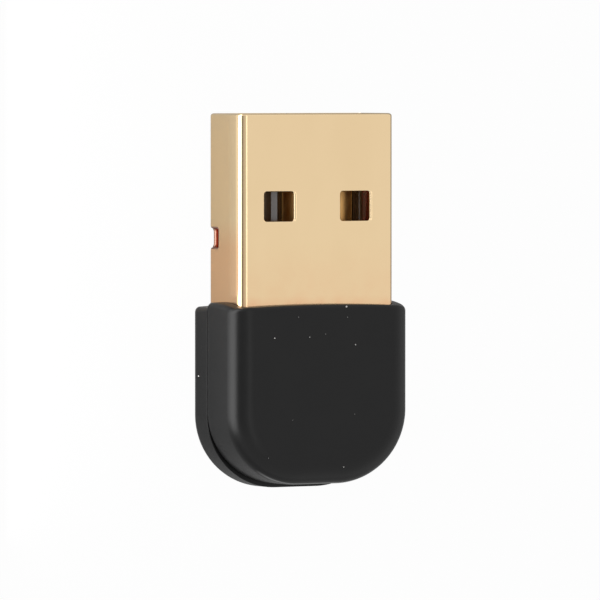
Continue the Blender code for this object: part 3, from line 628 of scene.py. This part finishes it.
def mark_latch_rims(bm):
    """Adds the attribute latch_rim: strong on the inner face round a latch cut-out, weak on its cut edge."""
    layer = bm.verts.layers.float.new("latch_rim")
    grow = 0.27 * MM
    near = side_place(PLUG_BACK + LATCH_HEIGHT) - grow
    far = BLANK_HALF - (PLUG_HALF - LATCH_REACH) + grow
    high = TIP - LATCH_SETBACK + grow
    low = high - LATCH_LENGTH - 2 * grow
    for vertex in bm.verts:
        place = abs(vertex.co.x)
        if near < place < far and low < vertex.co.y < high and vertex.co.z < -0.01 * MM:
            vertex[layer] = INNER_RIM if vertex.co.z < -SHEET + 0.03 * MM else CUT_EDGE


def exact_normals(obj):
    """Gives the flat stretches and the folds the normals of truly bent sheet, so that reflections stay even."""
    mesh = obj.data
    directions = [item.value for item in mesh.attributes["facing"].data]
    skins = [item.value for item in mesh.attributes["skin"].data]
    normals = [item.vector.copy() for item in mesh.corner_normals]
    changed = 0
    for polygon in mesh.polygons:
        for loop in polygon.loop_indices:
            point = mesh.loops[loop].vertex_index
            true = Vector((math.sin(directions[point]), 0.0, math.cos(directions[point]))) * skins[point]
            if true.dot(polygon.normal) > 0.9:
                normals[loop] = true
                changed += 1
    mesh.normals_split_custom_set(normals)
    print("corners with the sheet's own normal:", changed, "of", len(normals))


blank = flat_blank()
print("blank:", len(blank.verts), "points, before slicing")
slice_for_folding(blank)
mark_latch_rims(blank)
fold(blank)
plug_shell = mesh_piece("plug_shell_folded", blank, plug_gold)
smooth(plug_shell, 40)
exact_normals(plug_shell)
mark_edges(plug_shell, 4.0, 12.0)
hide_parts("plug_shell")
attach(plug_shell, "root")
print("shell:", len(plug_shell.data.polygons), "faces")

# %% [markdown]
# ## The two halves of the casing
#
# Each half is a shell whose outline is a U: straight sides, an elliptical end and a crowned edge where the plug
# comes out. Seen from above it is one family of outlines, so each half is a stack of them. The front half draws
# in along a quarter of a flat ellipse, which gives the long soft rounding down its side. Booleans then take out
# the hollow, the rebate for the lip and the opening for the plug.

# %% Sizes of the casing
END_RADII = (5.3 * MM, 4.95 * MM)
RIM_CORNER = 0.35 * MM
RIM_BOW_WIDE = 120.0 * MM
RIM_BOW_DEEP = 8.2 * MM
FRONT_ROUND = (1.6 * MM, 1.4 * MM)  # across the front face, and down the side
FRONT_RIM_ROUND = 0.25 * MM
BACK_ROUND = 0.87 * MM
BACK_RIM_ROUND = 0.3 * MM
SIDE_WALL = 0.84 * MM
BACK_WALL = PLUG_BACK - PLUG_FIT
CEILING = PLUG_FRONT + PLUG_FIT
RIM_WALL = 1.2 * MM
HOLLOW_ROUND = 0.4 * MM
LIP_THICKNESS = 0.35 * MM
LIP_HEIGHT = 0.5 * MM
CORNER_STEPS = 44
ROUND_STEPS = 28
SIDE_STEPS = 8
BOW_STEPS = 24


def u_outline(half, low, radii, plug_end, steps=CORNER_STEPS):
    """An outline with a rounded low end, closed by the points given for its plug end."""
    shift = half - radii[0]
    centre = low + radii[1]
    right = arc((shift, centre), radii, -90, 0, steps)
    left = arc((-shift, centre), radii, 180, 270, steps)
    return right + plug_end + left


def casing_ring(height, end, rim, inset):
    """One level of a half: inset draws its sides and rounded end in, and rim is its crown at that level."""
    half = CASING_HALF - inset
    straight = half - RIM_CORNER
    corner = (RIM_CORNER, RIM_CORNER)
    plug_end = arc((straight, rim - RIM_CORNER), corner, 0, 90, 8)
    plug_end += [(straight * (1 - 2 * k / BOW_STEPS), rim) for k in range(1, BOW_STEPS)]
    plug_end += arc((-straight, rim - RIM_CORNER), corner, 90, 180, 8)
    bowed = [(x, y - x * x / (2 * RIM_BOW_WIDE)) for x, y in plug_end]
    radii = (END_RADII[0] - inset, END_RADII[1] - inset)
    return [Vector((x, y, height)) for x, y in u_outline(half, end + inset, radii, bowed)]


def hollow_ring(height, grow, rim_grow=0.0):
    """One level of the space inside, grown outwards at the sides or at the plug end."""
    half = CASING_HALF - SIDE_WALL + grow
    rim = BACK_CROWN - RIM_WALL + rim_grow
    radii = (END_RADII[0] - SIDE_WALL + grow, END_RADII[1] - SIDE_WALL + grow)
    outline = u_outline(half, FRONT_END + SIDE_WALL - grow, radii, [(half, rim), (-half, rim)], 16)
    return [Vector((x, y, height)) for x, y in outline]


def hollow_edge(face, direction):
    """Levels of the hollow's rounded edge, towards its floor or its ceiling."""
    rings = []
    for k in range(7):
        angle = math.radians(15 * k)
        inset = HOLLOW_ROUND * (1 - math.cos(angle))
        height = face - direction * HOLLOW_ROUND * (1 - math.sin(angle))
        rings.append(hollow_ring(height, -inset, -inset))
    return rings


def round_in(height, edge, radius):
    """How far an edge draws in at a height, on a rounding that starts a radius below it."""
    climb = min(max(height - (edge - radius), 0.0), radius)
    return radius - math.sqrt(radius * radius - climb * climb)


def plug_opening():
    """The hole for the plug: its section, grown by the gap round it."""
    grow = PLUG_FIT
    low = (-PLUG_HALF - grow, PLUG_BACK - grow)
    high = (PLUG_HALF + grow, PLUG_FRONT + grow)
    outline = rounded_rectangle(low, high, PLUG_BEND + grow, 14)
    start = BACK_CROWN - RIM_WALL - HOLLOW_ROUND
    return loft("plug_opening", [[Vector((x, y, z)) for x, z in outline] for y in (start, FRONT_CROWN + CUT_PAST)])


# %% Front half
def front_half():
    seam = SEAM_HEIGHT + SEAM_GAP / 2
    levels = [(seam, SEAM_BREAK, SEAM_BREAK)]
    foot = seam + SEAM_BREAK
    straight = CASING_DEPTH - FRONT_ROUND[1] - foot
    levels += [(foot + straight * k / SIDE_STEPS, 0.0, 0.0) for k in range(SIDE_STEPS)]
    for k in range(ROUND_STEPS + 1):
        angle = math.radians(90 * k / ROUND_STEPS)
        height = CASING_DEPTH - FRONT_ROUND[1] * (1 - math.sin(angle))
        inset = FRONT_ROUND[0] * (1 - math.cos(angle))
        levels.append((height, inset, round_in(height, CASING_DEPTH, FRONT_RIM_ROUND)))
    rings = []
    for height, inset, rim_inset in levels:
        bow = (min(height, CEILING) - PLUG_MIDDLE) ** 2 / (2 * RIM_BOW_DEEP)
        rings.append(casing_ring(height, FRONT_END, FRONT_CROWN - bow - rim_inset, inset))
    half = loft("front_half_moulded", rings, casing_black)

    low = seam - CUT_PAST
    boolean(half, loft("hollow", [hollow_ring(low, 0)] + hollow_edge(CEILING, 1)))
    wide = LIP_THICKNESS + PLUG_FIT
    rebate = [hollow_ring(z, wide, PLUG_FIT) for z in (low, SEAM_HEIGHT + LIP_HEIGHT + PLUG_FIT)]
    boolean(half, loft("rebate", rebate))
    boolean(half, plug_opening())
    return half


front_half_moulded = front_half()
smooth(front_half_moulded)
mark_edges(front_half_moulded, 1.5, 5.0)
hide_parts("front_cover")
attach(front_half_moulded, "root")
print("front half:", len(front_half_moulded.data.polygons), "faces")


# %% Back half
def back_half():
    seam = SEAM_HEIGHT - SEAM_GAP / 2
    rings = []
    for k in range(ROUND_STEPS // 2 + 1):
        angle = math.radians(90 * (1 - 2 * k / ROUND_STEPS))
        height = BACK_ROUND * (1 - math.sin(angle))
        inset = BACK_ROUND * (1 - math.cos(angle))
        rim_inset = round_in(-height, 0.0, BACK_RIM_ROUND)
        rings.append(casing_ring(height, BACK_END, BACK_CROWN - rim_inset, inset))
    rings.append(casing_ring(seam - SEAM_BREAK, BACK_END, BACK_CROWN, 0.0))
    rings.append(casing_ring(seam, BACK_END, BACK_CROWN - SEAM_BREAK, SEAM_BREAK))
    half = loft("back_half_moulded", rings, casing_black)

    top = SEAM_HEIGHT + LIP_HEIGHT
    lip = [hollow_ring(z, LIP_THICKNESS) for z in ((BACK_WALL + SEAM_HEIGHT) / 2, top)]
    boolean(half, loft("lip", lip), "UNION")
    boolean(half, loft("hollow", hollow_edge(BACK_WALL, -1)[::-1] + [hollow_ring(top + CUT_PAST, 0)]))
    boolean(half, plug_opening())
    return half


back_half_moulded = back_half()
smooth(back_half_moulded)
mark_edges(back_half_moulded, 1.5, 5.0)
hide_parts("rear_cover")
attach(back_half_moulded, "root")
print("back half:", len(back_half_moulded.data.polygons), "faces")

# %% [markdown]
# ## The insulator
#
# Through the windows the eye lands on the plug's tongue. Its contacts lie in grooves, a wedge keeps the two on
# each side apart, and both long sides step down a little. There the shell's gold inside is so close that the
# red of its bounced light is painted into the plastic's colour. The imported insulator already has its block,
# grooves and reliefs, so a copy of it is worked on: bars are joined to it and the steps are cut.

# %% Sizes of the tongue
contact_low, contact_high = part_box("contact_power")
data_low, data_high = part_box("contact_data_minus")
CONTACT_TOP = contact_high.z
CONTACT_BACK = contact_low.z
TONGUE_FACE = CONTACT_TOP + 0.04 * MM
TONGUE_END = TIP - 0.5 * MM
BLOCK_FRONT = TIP - 11.75 * MM
RIB = (2.14 * MM, 0.22 * MM, 0.15 * MM)  # middle, half width and height
LEDGE = (4.58 * MM, 0.09 * MM, 0.05 * MM)
WEDGE = ((-1, 0), (-0.85, 1), (-0.75, 1.05), (0.92, 0.1), (1, 0))  # sections, in shares of half width and height
DOME = arc((0, 0), (1, 1), 0, 180, 16)
BAR_ROOT = 0.1 * MM  # how deep a bar goes into the tongue
BAR_LEVELS = ((BLOCK_FRONT - 0.1 * MM, 1.0), (TONGUE_END - 0.7 * MM, 1.0), (TONGUE_END - 0.4 * MM, 0.3))
STEP_PLACE = 4.8 * MM
STEP_HEIGHT = 2.75 * MM
print("tongue's face at", round(TONGUE_FACE / MM, 2), "mm")


# %% Insulator
def merged_copy(node_name, name, material):
    """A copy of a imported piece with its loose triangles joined, to be worked on."""
    bm = bmesh.new()
    bm.from_mesh(frame["nodes"][node_name].data)
    weld(bm, 0.0001 * MM)
    bmesh.ops.dissolve_limit(bm, angle_limit=math.radians(0.5), verts=bm.verts, edges=bm.edges)
    return mesh_piece(name, bm, material)


def bar(side, place, half, height, section):
    """A bar on the tongue's face, from inside the block to a tapered end."""
    outline = [(x * half, z * height) for x, z in section]
    outline += [(outline[-1][0], -BAR_ROOT), (outline[0][0], -BAR_ROOT)]
    rings = []
    for y, share in BAR_LEVELS:
        lifted = [(x, z * share if z > 0 else z) for x, z in outline]
        rings.append([Vector((side * (place + x), y, TONGUE_FACE + z)) for x, z in lifted])
    return loft("bar", rings)


def side_step(side):
    """What is cut away along one side of the tongue."""
    near, far = sorted((side * STEP_PLACE, side * PLUG_HALF))
    top = CONTACT_TOP + CUT_PAST
    corners = [(near, STEP_HEIGHT), (far, STEP_HEIGHT), (far, top), (near, top)]
    return loft("side_step", [[Vector((x, y, z)) for x, z in corners] for y in (BLOCK_FRONT + 0.02 * MM, TIP)])


insulator = merged_copy("plug_insulator", "insulator_moulded", insulator_black)
for side in (-1, 1):
    boolean(insulator, bar(side, *RIB, WEDGE), "UNION")
    boolean(insulator, bar(side, *LEDGE, DOME), "UNION")
    boolean(insulator, side_step(side))
smooth(insulator, 30)
mark_edges(insulator, 4.0, 12.0)
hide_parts("plug_insulator")
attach(insulator, "root")
print("insulator:", len(insulator.data.polygons), "faces")

# %% [markdown]
# ## The contacts
#
# The four contacts are stamped from one strip and differ only in how far they reach, so Geometry Nodes make
# them: a line along the plug carries a rounded section, a narrower line makes the soldering tail, and the pair
# stands on two points. The power pair reaches a millimetre further than the data pair, so that power meets
# first. One tree serves both pairs, with its sizes as inputs.

# %% Helpers for Geometry Nodes
def new_tree(name, *inputs):
    """A tree, and the sockets of its inputs, each given by a name and a kind."""
    tree = bpy.data.node_groups.new(name, "GeometryNodeTree")
    for title, kind in inputs:
        tree.interface.new_socket(title, in_out="INPUT", socket_type="NodeSocket" + kind)
    tree.interface.new_socket("Geometry", in_out="OUTPUT", socket_type="NodeSocketGeometry")
    return tree, node(tree, "NodeGroupInput").outputs


def geometry(tree, kind, values=None, **settings):
    """What one node of a kind that works on geometry makes of its values."""
    return node(tree, "GeometryNode" + kind, values, **settings).outputs[0]


def combined(tree, axes):
    """A vector made of values for the axes X, Y or Z."""
    return node(tree, "ShaderNodeCombineXYZ", axes).outputs[0]


def stand_on_points(tree, values, finish):
    """Stands an instance on each point, makes all of them real, gives them a material and puts them out."""
    placed = geometry(tree, "InstanceOnPoints", values)
    real = geometry(tree, "RealizeInstances", {"Geometry": placed})
    finished = geometry(tree, "SetMaterial", {"Geometry": real, "Material": finish})
    tree.links.new(finished, node(tree, "NodeGroupOutput").inputs[0])


def grown(name, tree, inputs, source=None):
    """Runs a Geometry Nodes tree on a mesh, with its inputs set by identifier, and returns a plain piece."""
    obj = add_object(name, source or bpy.data.meshes.new(name))
    step = obj.modifiers.new("tree", "NODES")
    step.node_group = tree
    for item in tree.interface.items_tree:
        if item.in_out == "INPUT" and item.name in inputs:
            step[item.identifier] = inputs[item.name]
    bake(obj)
    return obj


# %% A tree that makes a pair of contacts
CONTACT_SIZES = ("Spacing", "Tail end", "Step", "Head", "Width", "Tail width", "Thickness")
CONTACT_SIZES += ("Middle height", "Rounding", "Crown", "Crown start")
ROUND_POINTS = 56  # round a contact's section
LONG_POINTS = 24  # along a contact


def contact_tree():
    sizes = [(size, "Float") for size in CONTACT_SIZES]
    tree, given = new_tree("contact_pair", *sizes, ("Finish", "Material"))

    def strip(start, stop, width):
        """A rounded strip between two places along the plug."""
        first, last = (combined(tree, {"Y": y, "Z": given["Middle height"]}) for y in (start, stop))
        line = geometry(tree, "CurvePrimitiveLine", {"Start": first, "End": last})
        upright = geometry(tree, "SetCurveNormal", {"Curve": line}, mode="Z_UP")
        values = {"Width": width, "Height": given["Thickness"]}
        section = geometry(tree, "CurvePrimitiveQuadrilateral", values)
        eased = node(tree, "GeometryNodeFilletCurve", {"Curve": section, "Radius": given["Rounding"]}, mode="POLY")
        eased.inputs["Count"].default_value = 5
        values = {"Curve": eased.outputs[0], "Count": ROUND_POINTS}
        dense = geometry(tree, "ResampleCurve", values)
        long = geometry(tree, "ResampleCurve", {"Curve": upright, "Count": LONG_POINTS})
        values = {"Curve": long, "Profile Curve": dense, "Fill Caps": True}
        return geometry(tree, "CurveToMesh", values)

    def crowned(blade):
        """Raises the middle of the blade into a low arch, past where it leaves the block."""
        place = node(tree, "ShaderNodeSeparateXYZ", {0: geometry(tree, "InputPosition")}).outputs
        across = calculated(tree, "DIVIDE", place["X"], given["Width"])
        arch = calculated(tree, "MULTIPLY_ADD", product(tree, across, across), -4.0, 1.0)
        past = calculated(tree, "GREATER_THAN", place["Y"], given["Crown start"])
        lift = combined(tree, {"Z": product(tree, arch, given["Crown"], past)})
        return geometry(tree, "SetPosition", {"Geometry": blade, "Offset": lift})

    blade = crowned(strip(given["Step"], given["Head"], given["Width"]))
    tail = strip(given["Tail end"], given["Step"], given["Tail width"])
    joined = node(tree, "GeometryNodeJoinGeometry")
    tree.links.new(blade, joined.inputs[0])
    tree.links.new(tail, joined.inputs[0])
    start = combined(tree, {"X": product(tree, given["Spacing"], -0.5)})
    apart = combined(tree, {"X": given["Spacing"]})
    pair = geometry(tree, "MeshLine", {"Count": 2, "Start Location": start, "Offset": apart})
    stand_on_points(tree, {"Points": pair, "Instance": joined.outputs[0]}, given["Finish"])
    return tree


# %% Contacts
contacts = contact_tree()
for name, pair_low, pair_high, nodes in (
    ("power_contacts_stamped", contact_low, contact_high, ("contact_ground", "contact_power")),
    ("data_contacts_stamped", data_low, data_high, ("contact_data_plus", "contact_data_minus")),
):
    inputs = {
        "Spacing": pair_low.x + pair_high.x,
        "Tail end": pair_low.y,
        "Step": SHELL_END,
        "Head": pair_high.y,
        "Width": pair_high.x - pair_low.x,
        "Tail width": 0.6 * MM,
        "Thickness": CONTACT_TOP - CONTACT_BACK,
        "Middle height": (CONTACT_TOP + CONTACT_BACK) / 2,
        "Rounding": 0.04 * MM,
        "Crown": 0.055 * MM,
        "Crown start": BLOCK_FRONT + 0.1 * MM,
        "Finish": contact_gold,
    }
    pair = grown(name, contacts, inputs)
    smooth(pair, 40)
    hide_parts(*nodes)
    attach(pair, "root")
    print(name, len(pair.data.polygons), "faces")

# %% [markdown]
# ## Finishes of the pieces inside
#
# The board and its parts can't be seen while the casing is shut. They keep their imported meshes, and each gets a
# finish of its own kind all the same, so that a cut-away or an exploded view still reads well.

# %% Materials for the inner pieces
def coated(name, colour, second, roughness, grain, metallic=0.0):
    """A coated or moulded small part: two tones in fine noise over a slightly uneven surface."""
    material, tree, _ = new_material(name)
    speckle = noise(tree, grain, 3.0)
    matt = spread(tree, speckle, roughness * 0.9, roughness * 1.15)
    wire(tree, speckle, (colour, second), matt, [(speckle, 0.15, 0.004 * MM)], metallic)
    return material


inner_finishes = {
    "board_green": coated("board_solder_mask", (0.010, 0.085, 0.030), (0.014, 0.11, 0.04), 0.35, 0.3 * MM),
    "chip_black": coated("chip_epoxy", (0.015, 0.015, 0.017), (0.026, 0.026, 0.028), 0.6, 0.05 * MM),
    "ceramic_tan": coated("ceramic_body", (0.40, 0.25, 0.13), (0.46, 0.30, 0.18), 0.5, 0.06 * MM),
    "resistor_black": coated("resistor_coat", (0.025, 0.025, 0.03), (0.04, 0.04, 0.045), 0.4, 0.06 * MM),
    "crystal_metal": coated("crystal_lid", (0.62, 0.60, 0.56), (0.54, 0.52, 0.49), 0.3, 0.08 * MM, 1.0),
    "antenna_copper": coated("antenna_trace", (0.86, 0.62, 0.30), (0.78, 0.54, 0.25), 0.35, 0.08 * MM, 1.0),
    "insulator_black": insulator_black,
    "contact_gold": contact_gold,
    "plug_gold": plug_gold,
    "casing_black": casing_black,
}
slots = {entry["node"]: entry["material_slot"] for entry in frame["record"]["subparts"]}
for name, obj in frame["nodes"].items():
    if slots[name] in inner_finishes:
        obj.data.materials.clear()
        obj.data.materials.append(inner_finishes[slots[name]])
print("inner pieces finished:", sum(slot in inner_finishes for slot in slots.values()))

# %% [markdown]
# ## Dust
#
# Matt black plastic shows every speck, and a dozen lie on this casing. They repeat, so Geometry Nodes place
# them: one small flake stands on each point, turned and sized by a fixed seed. The points carry their places
# and a size of their own, because a few specks are clearly larger than the rest. Each is sunk by half.

# %% Where the specks lie
FLAKE_RADIUS = 0.06 * MM
SIDE_SPECK = ((-CASING_HALF, -5.04 * MM, 1.14 * MM), 0.95)  # place, and size as a share of a whole flake
FRONT_SPECKS = (  # millimetres across and along the front face, and size
    (-3.94, -2.4, 0.85),
    (2.34, -2.95, 0.7),
    (1.64, -0.39, 1.1),
    (-1.23, -2.38, 0.55),
    (1.41, -11.12, 0.65),
    (1.72, -1.1, 0.4),
    (-2.08, -1.03, 0.35),
    (0.01, -2.2, 0.4),
    (-4.4, -10.37, 0.35),
    (2.27, -7.6, 0.35),
    (-2.55, -7.89, 0.3),
)
dust_places = [(Vector((x, y, 0)) * MM + Vector((0, 0, CASING_DEPTH)), size) for x, y, size in FRONT_SPECKS]
dust_places.append(SIDE_SPECK)
print("specks:", len(dust_places))


# %% A tree that scatters flakes on points
def dust_tree():
    inputs = (("Geometry", "Geometry"), ("Flake radius", "Float"), ("Seed", "Int"), ("Finish", "Material"))
    tree, given = new_tree("dust_flakes", *inputs)
    flake = geometry(tree, "MeshIcoSphere", {"Radius": given["Flake radius"], "Subdivisions": 2})
    size = geometry(tree, "InputNamedAttribute", {"Name": "size"}, data_type="FLOAT")
    turned = node(tree, "FunctionNodeRandomValue", {"Seed": given["Seed"]}, data_type="FLOAT_VECTOR")
    turned.inputs[1].default_value = (6.28, 6.28, 6.28)  # up to a full turn about each axis
    values = {"Points": given["Geometry"], "Instance": flake, "Rotation": turned.outputs[0], "Scale": size}
    stand_on_points(tree, values, given["Finish"])
    return tree


# %% Dust
dust_grey = coated("dust_lint", (0.55, 0.54, 0.52), (0.42, 0.41, 0.40), 0.9, 0.02 * MM)
points = bpy.data.meshes.new("dust_points")
points.from_pydata([place for place, _ in dust_places], [], [])
points.attributes.new("size", "FLOAT", "POINT").data.foreach_set("value", [size for _, size in dust_places])
dust = grown("dust_specks", dust_tree(), {"Flake radius": FLAKE_RADIUS, "Seed": 4, "Finish": dust_grey}, points)
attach(dust, "root")
print("dust:", len(dust.data.polygons), "faces")

# %% [markdown]
# ## Camera
#
# The photograph was taken from about half a metre with a long lens, 31 degrees round to the left of the front
# face. These axes and this place come from fitting the plug's standard sizes to the photograph.

# %% Place the camera
LENS = 447.5  # mm, for a sensor 36 mm wide
RIGHT = Vector((0.8599, 0.0, 0.5105))
UP = Vector((0.0153, 0.9995, -0.0258))
BACK = Vector((-0.5103, 0.0300, 0.8595))
EYE = Vector((-255.3, 15.0, 432.9)) * MM
EYE_SHIFT = 0.047 * MM  # to the left, which moves the picture by less than a pixel

camera_data = bpy.data.cameras.new("camera")
camera_data.lens = LENS
camera_data.sensor_width = 36.0
camera_data.clip_start = 0.01
camera_data.clip_end = 20.0
camera = add_object("camera", camera_data)
eye = EYE - RIGHT * EYE_SHIFT
turn = Matrix((RIGHT, UP, BACK)).transposed()
camera.matrix_world = Matrix.Translation(eye) @ turn.to_4x4()
bpy.context.scene.camera = camera
print("camera at", [round(v / MM, 1) for v in eye], "mm")

# %% [markdown]
# ## Floor and light
#
# Small shiny goods are shot in a light tent: white on every side, one stronger soft box low on the left, a
# narrow strip above, and the dark of the camera itself. In the gold fold these read as a white line, a dark
# line and a thin bright line, so their places matter more than their power. The tent's walls aren't one even
# white, so the places that the fold mirrors are cards of a stated brightness, which show in reflections only
# and give the object no light. The floor is a real pale surface with a real shadow. For the camera it is mixed
# with plain white, which keeps the shadow but faint.

# %% Floor
def mix_in_white(tree, kind, share, plain, end):
    """Mixes a share of white, an emission or a background, with a plain shader and puts the result out."""
    white = node(tree, kind, {"Color": (1.0, 1.0, 1.0, 1.0), "Strength": 1.0}).outputs[0]
    mixed = node(tree, "ShaderNodeMixShader", {0: share, 1: plain.outputs[0], 2: white}).outputs[0]
    tree.links.new(mixed, tree.nodes[end].inputs["Surface"])


FLOOR_REACH = 3.0
FLOOR_WHITE = (("Is Camera Ray", 0.975), ("Is Glossy Ray", 0.2), ("Is Transmission Ray", 0.975))  # share of white


def pale_floor():
    material, tree, shader = new_material("floor_white")
    shader.inputs["Base Color"].default_value = (0.5, 0.5, 0.5, 1.0)
    shader.inputs["Roughness"].default_value = 0.8
    shader.inputs["Specular IOR Level"].default_value = 0.2
    path = node(tree, "ShaderNodeLightPath").outputs
    share = 0.0
    for ray, part in FLOOR_WHITE:
        share = calculated(tree, "MULTIPLY_ADD", path[ray], part, share)
    mix_in_white(tree, "ShaderNodeEmission", share, shader, "Material Output")
    corners = [(x * FLOOR_REACH, y * FLOOR_REACH, 0) for x, y in ((-1, -1), (1, -1), (1, 1), (-1, 1))]
    floor = flat_card("floor", corners, material)
    return floor


pale_floor()


# %% Lamps
def soft_box(name, centre, aim, width, length, radiance):
    """A rectangular lamp of a given radiance, wide across and long along Y, aimed at a point."""
    lamp = bpy.data.lights.new(name, "AREA")
    lamp.shape = "RECTANGLE"
    lamp.size = width
    lamp.size_y = length
    lamp.energy = radiance * width * length * math.pi
    obj = add_object(name, lamp)
    away = (Vector(centre) - Vector(aim)).normalized()
    lengthwise = Vector((0, 1, 0))
    across = lengthwise.cross(away).normalized()
    upward = away.cross(across)
    turned = Matrix((across, upward, away)).transposed()
    obj.matrix_world = Matrix.Translation(centre) @ turned.to_4x4()
    obj.visible_camera = False
    return obj


LEFT_BOX = {"centre": (-0.021, 0.0122, 0.0056), "aim": (0, 0.0122, 0.0056), "width": 0.0106, "length": 0.0556}
STRIP = {"centre": (-0.03, 0.0, 0.5), "aim": (0, 0, 0), "width": 0.07, "length": 0.5}
soft_box("left_box", radiance=4.7, **LEFT_BOX)
soft_box("strip_above", radiance=1.3, **STRIP)


# %% The dark of the camera, and the tent
def reflected_card(name, corners, shade):
    """A white or grey card of a given brightness that only shows in reflections."""
    material, tree, shader = new_material(name)
    shader.inputs["Base Color"].default_value = (0.0, 0.0, 0.0, 1.0)
    shader.inputs["Specular IOR Level"].default_value = 0.0
    shader.inputs["Emission Color"].default_value = (1.0, 1.0, 1.0, 1.0)
    shader.inputs["Emission Strength"].default_value = shade
    card = flat_card(name, corners, material)
    card.visible_camera = False
    card.visible_shadow = False
    card.visible_diffuse = False
    return card


def round_the_object(near, far):
    """Corners of a card far above, between two angles from straight up towards the left."""
    distance, reach = 0.62, 0.3
    corners = []
    for angle, y in ((near, -reach), (far, -reach), (far, reach), (near, reach)):
        turn = math.radians(angle)
        corners.append((-distance * math.sin(turn), y, distance * math.cos(turn)))
    return corners


def on_the_floor(near, far, low, high):
    """Corners of a card that lies on the floor to the left, from sizes in millimetres."""
    return [Vector((x, y, 0.05)) * MM for x, y in ((-near, low), (-far, low), (-far, high), (-near, high))]


HIGH_CARDS = (  # from and to in degrees from straight up, and brightness
    ("camera_card", 46, 63, 0.3),
    ("hood_card", 32, 46, 0.6),
    ("middle_card", 20, 32, 0.76),
    ("near_card", 10, 20, 0.88),
)
FOOT, LOW = (0.2, 40), (-11, 0.2)  # where the cards lie along the plug, and along the casing
FLOOR_CARDS = (  # from and to in millimetres from the middle, stretch along the object, and brightness
    ("foot_card_near", 8.2, 8.6, FOOT, 0.76),
    ("foot_card_middle", 8.6, 9.0, FOOT, 0.9),
    ("foot_card", 9.0, 20.5, FOOT, 1.12),
    ("low_card_near", 10.6, 12.6, LOW, 1.0),
    ("low_card_middle", 12.6, 15.5, LOW, 2.3),
    ("low_card", 15.5, 20.5, LOW, 3.2),
)
for name, near, far, shade in HIGH_CARDS:
    reflected_card(name, round_the_object(near, far), shade)
for name, near, far, stretch, shade in FLOOR_CARDS:
    reflected_card(name, on_the_floor(near, far, *stretch), shade)
print("cards:", len(HIGH_CARDS) + len(FLOOR_CARDS))

# %% The tent's even white
world = bpy.data.worlds.new("tent")
bpy.context.scene.world = world
world.use_nodes = True
tree = world.node_tree
tent = tree.nodes["Background"]
tent.inputs["Color"].default_value = (1.0, 1.0, 1.0, 1.0)
tent.inputs["Strength"].default_value = 0.6
path = node(tree, "ShaderNodeLightPath").outputs
shown = calculated(tree, "MAXIMUM", path["Is Camera Ray"], path["Is Glossy Ray"])
shown = calculated(tree, "MAXIMUM", shown, path["Is Transmission Ray"])
mix_in_white(tree, "ShaderNodeBackground", shown, tent, "World Output")

bpy.context.scene.view_settings.view_transform = "Standard"
print("view transform:", bpy.context.scene.view_settings.view_transform)
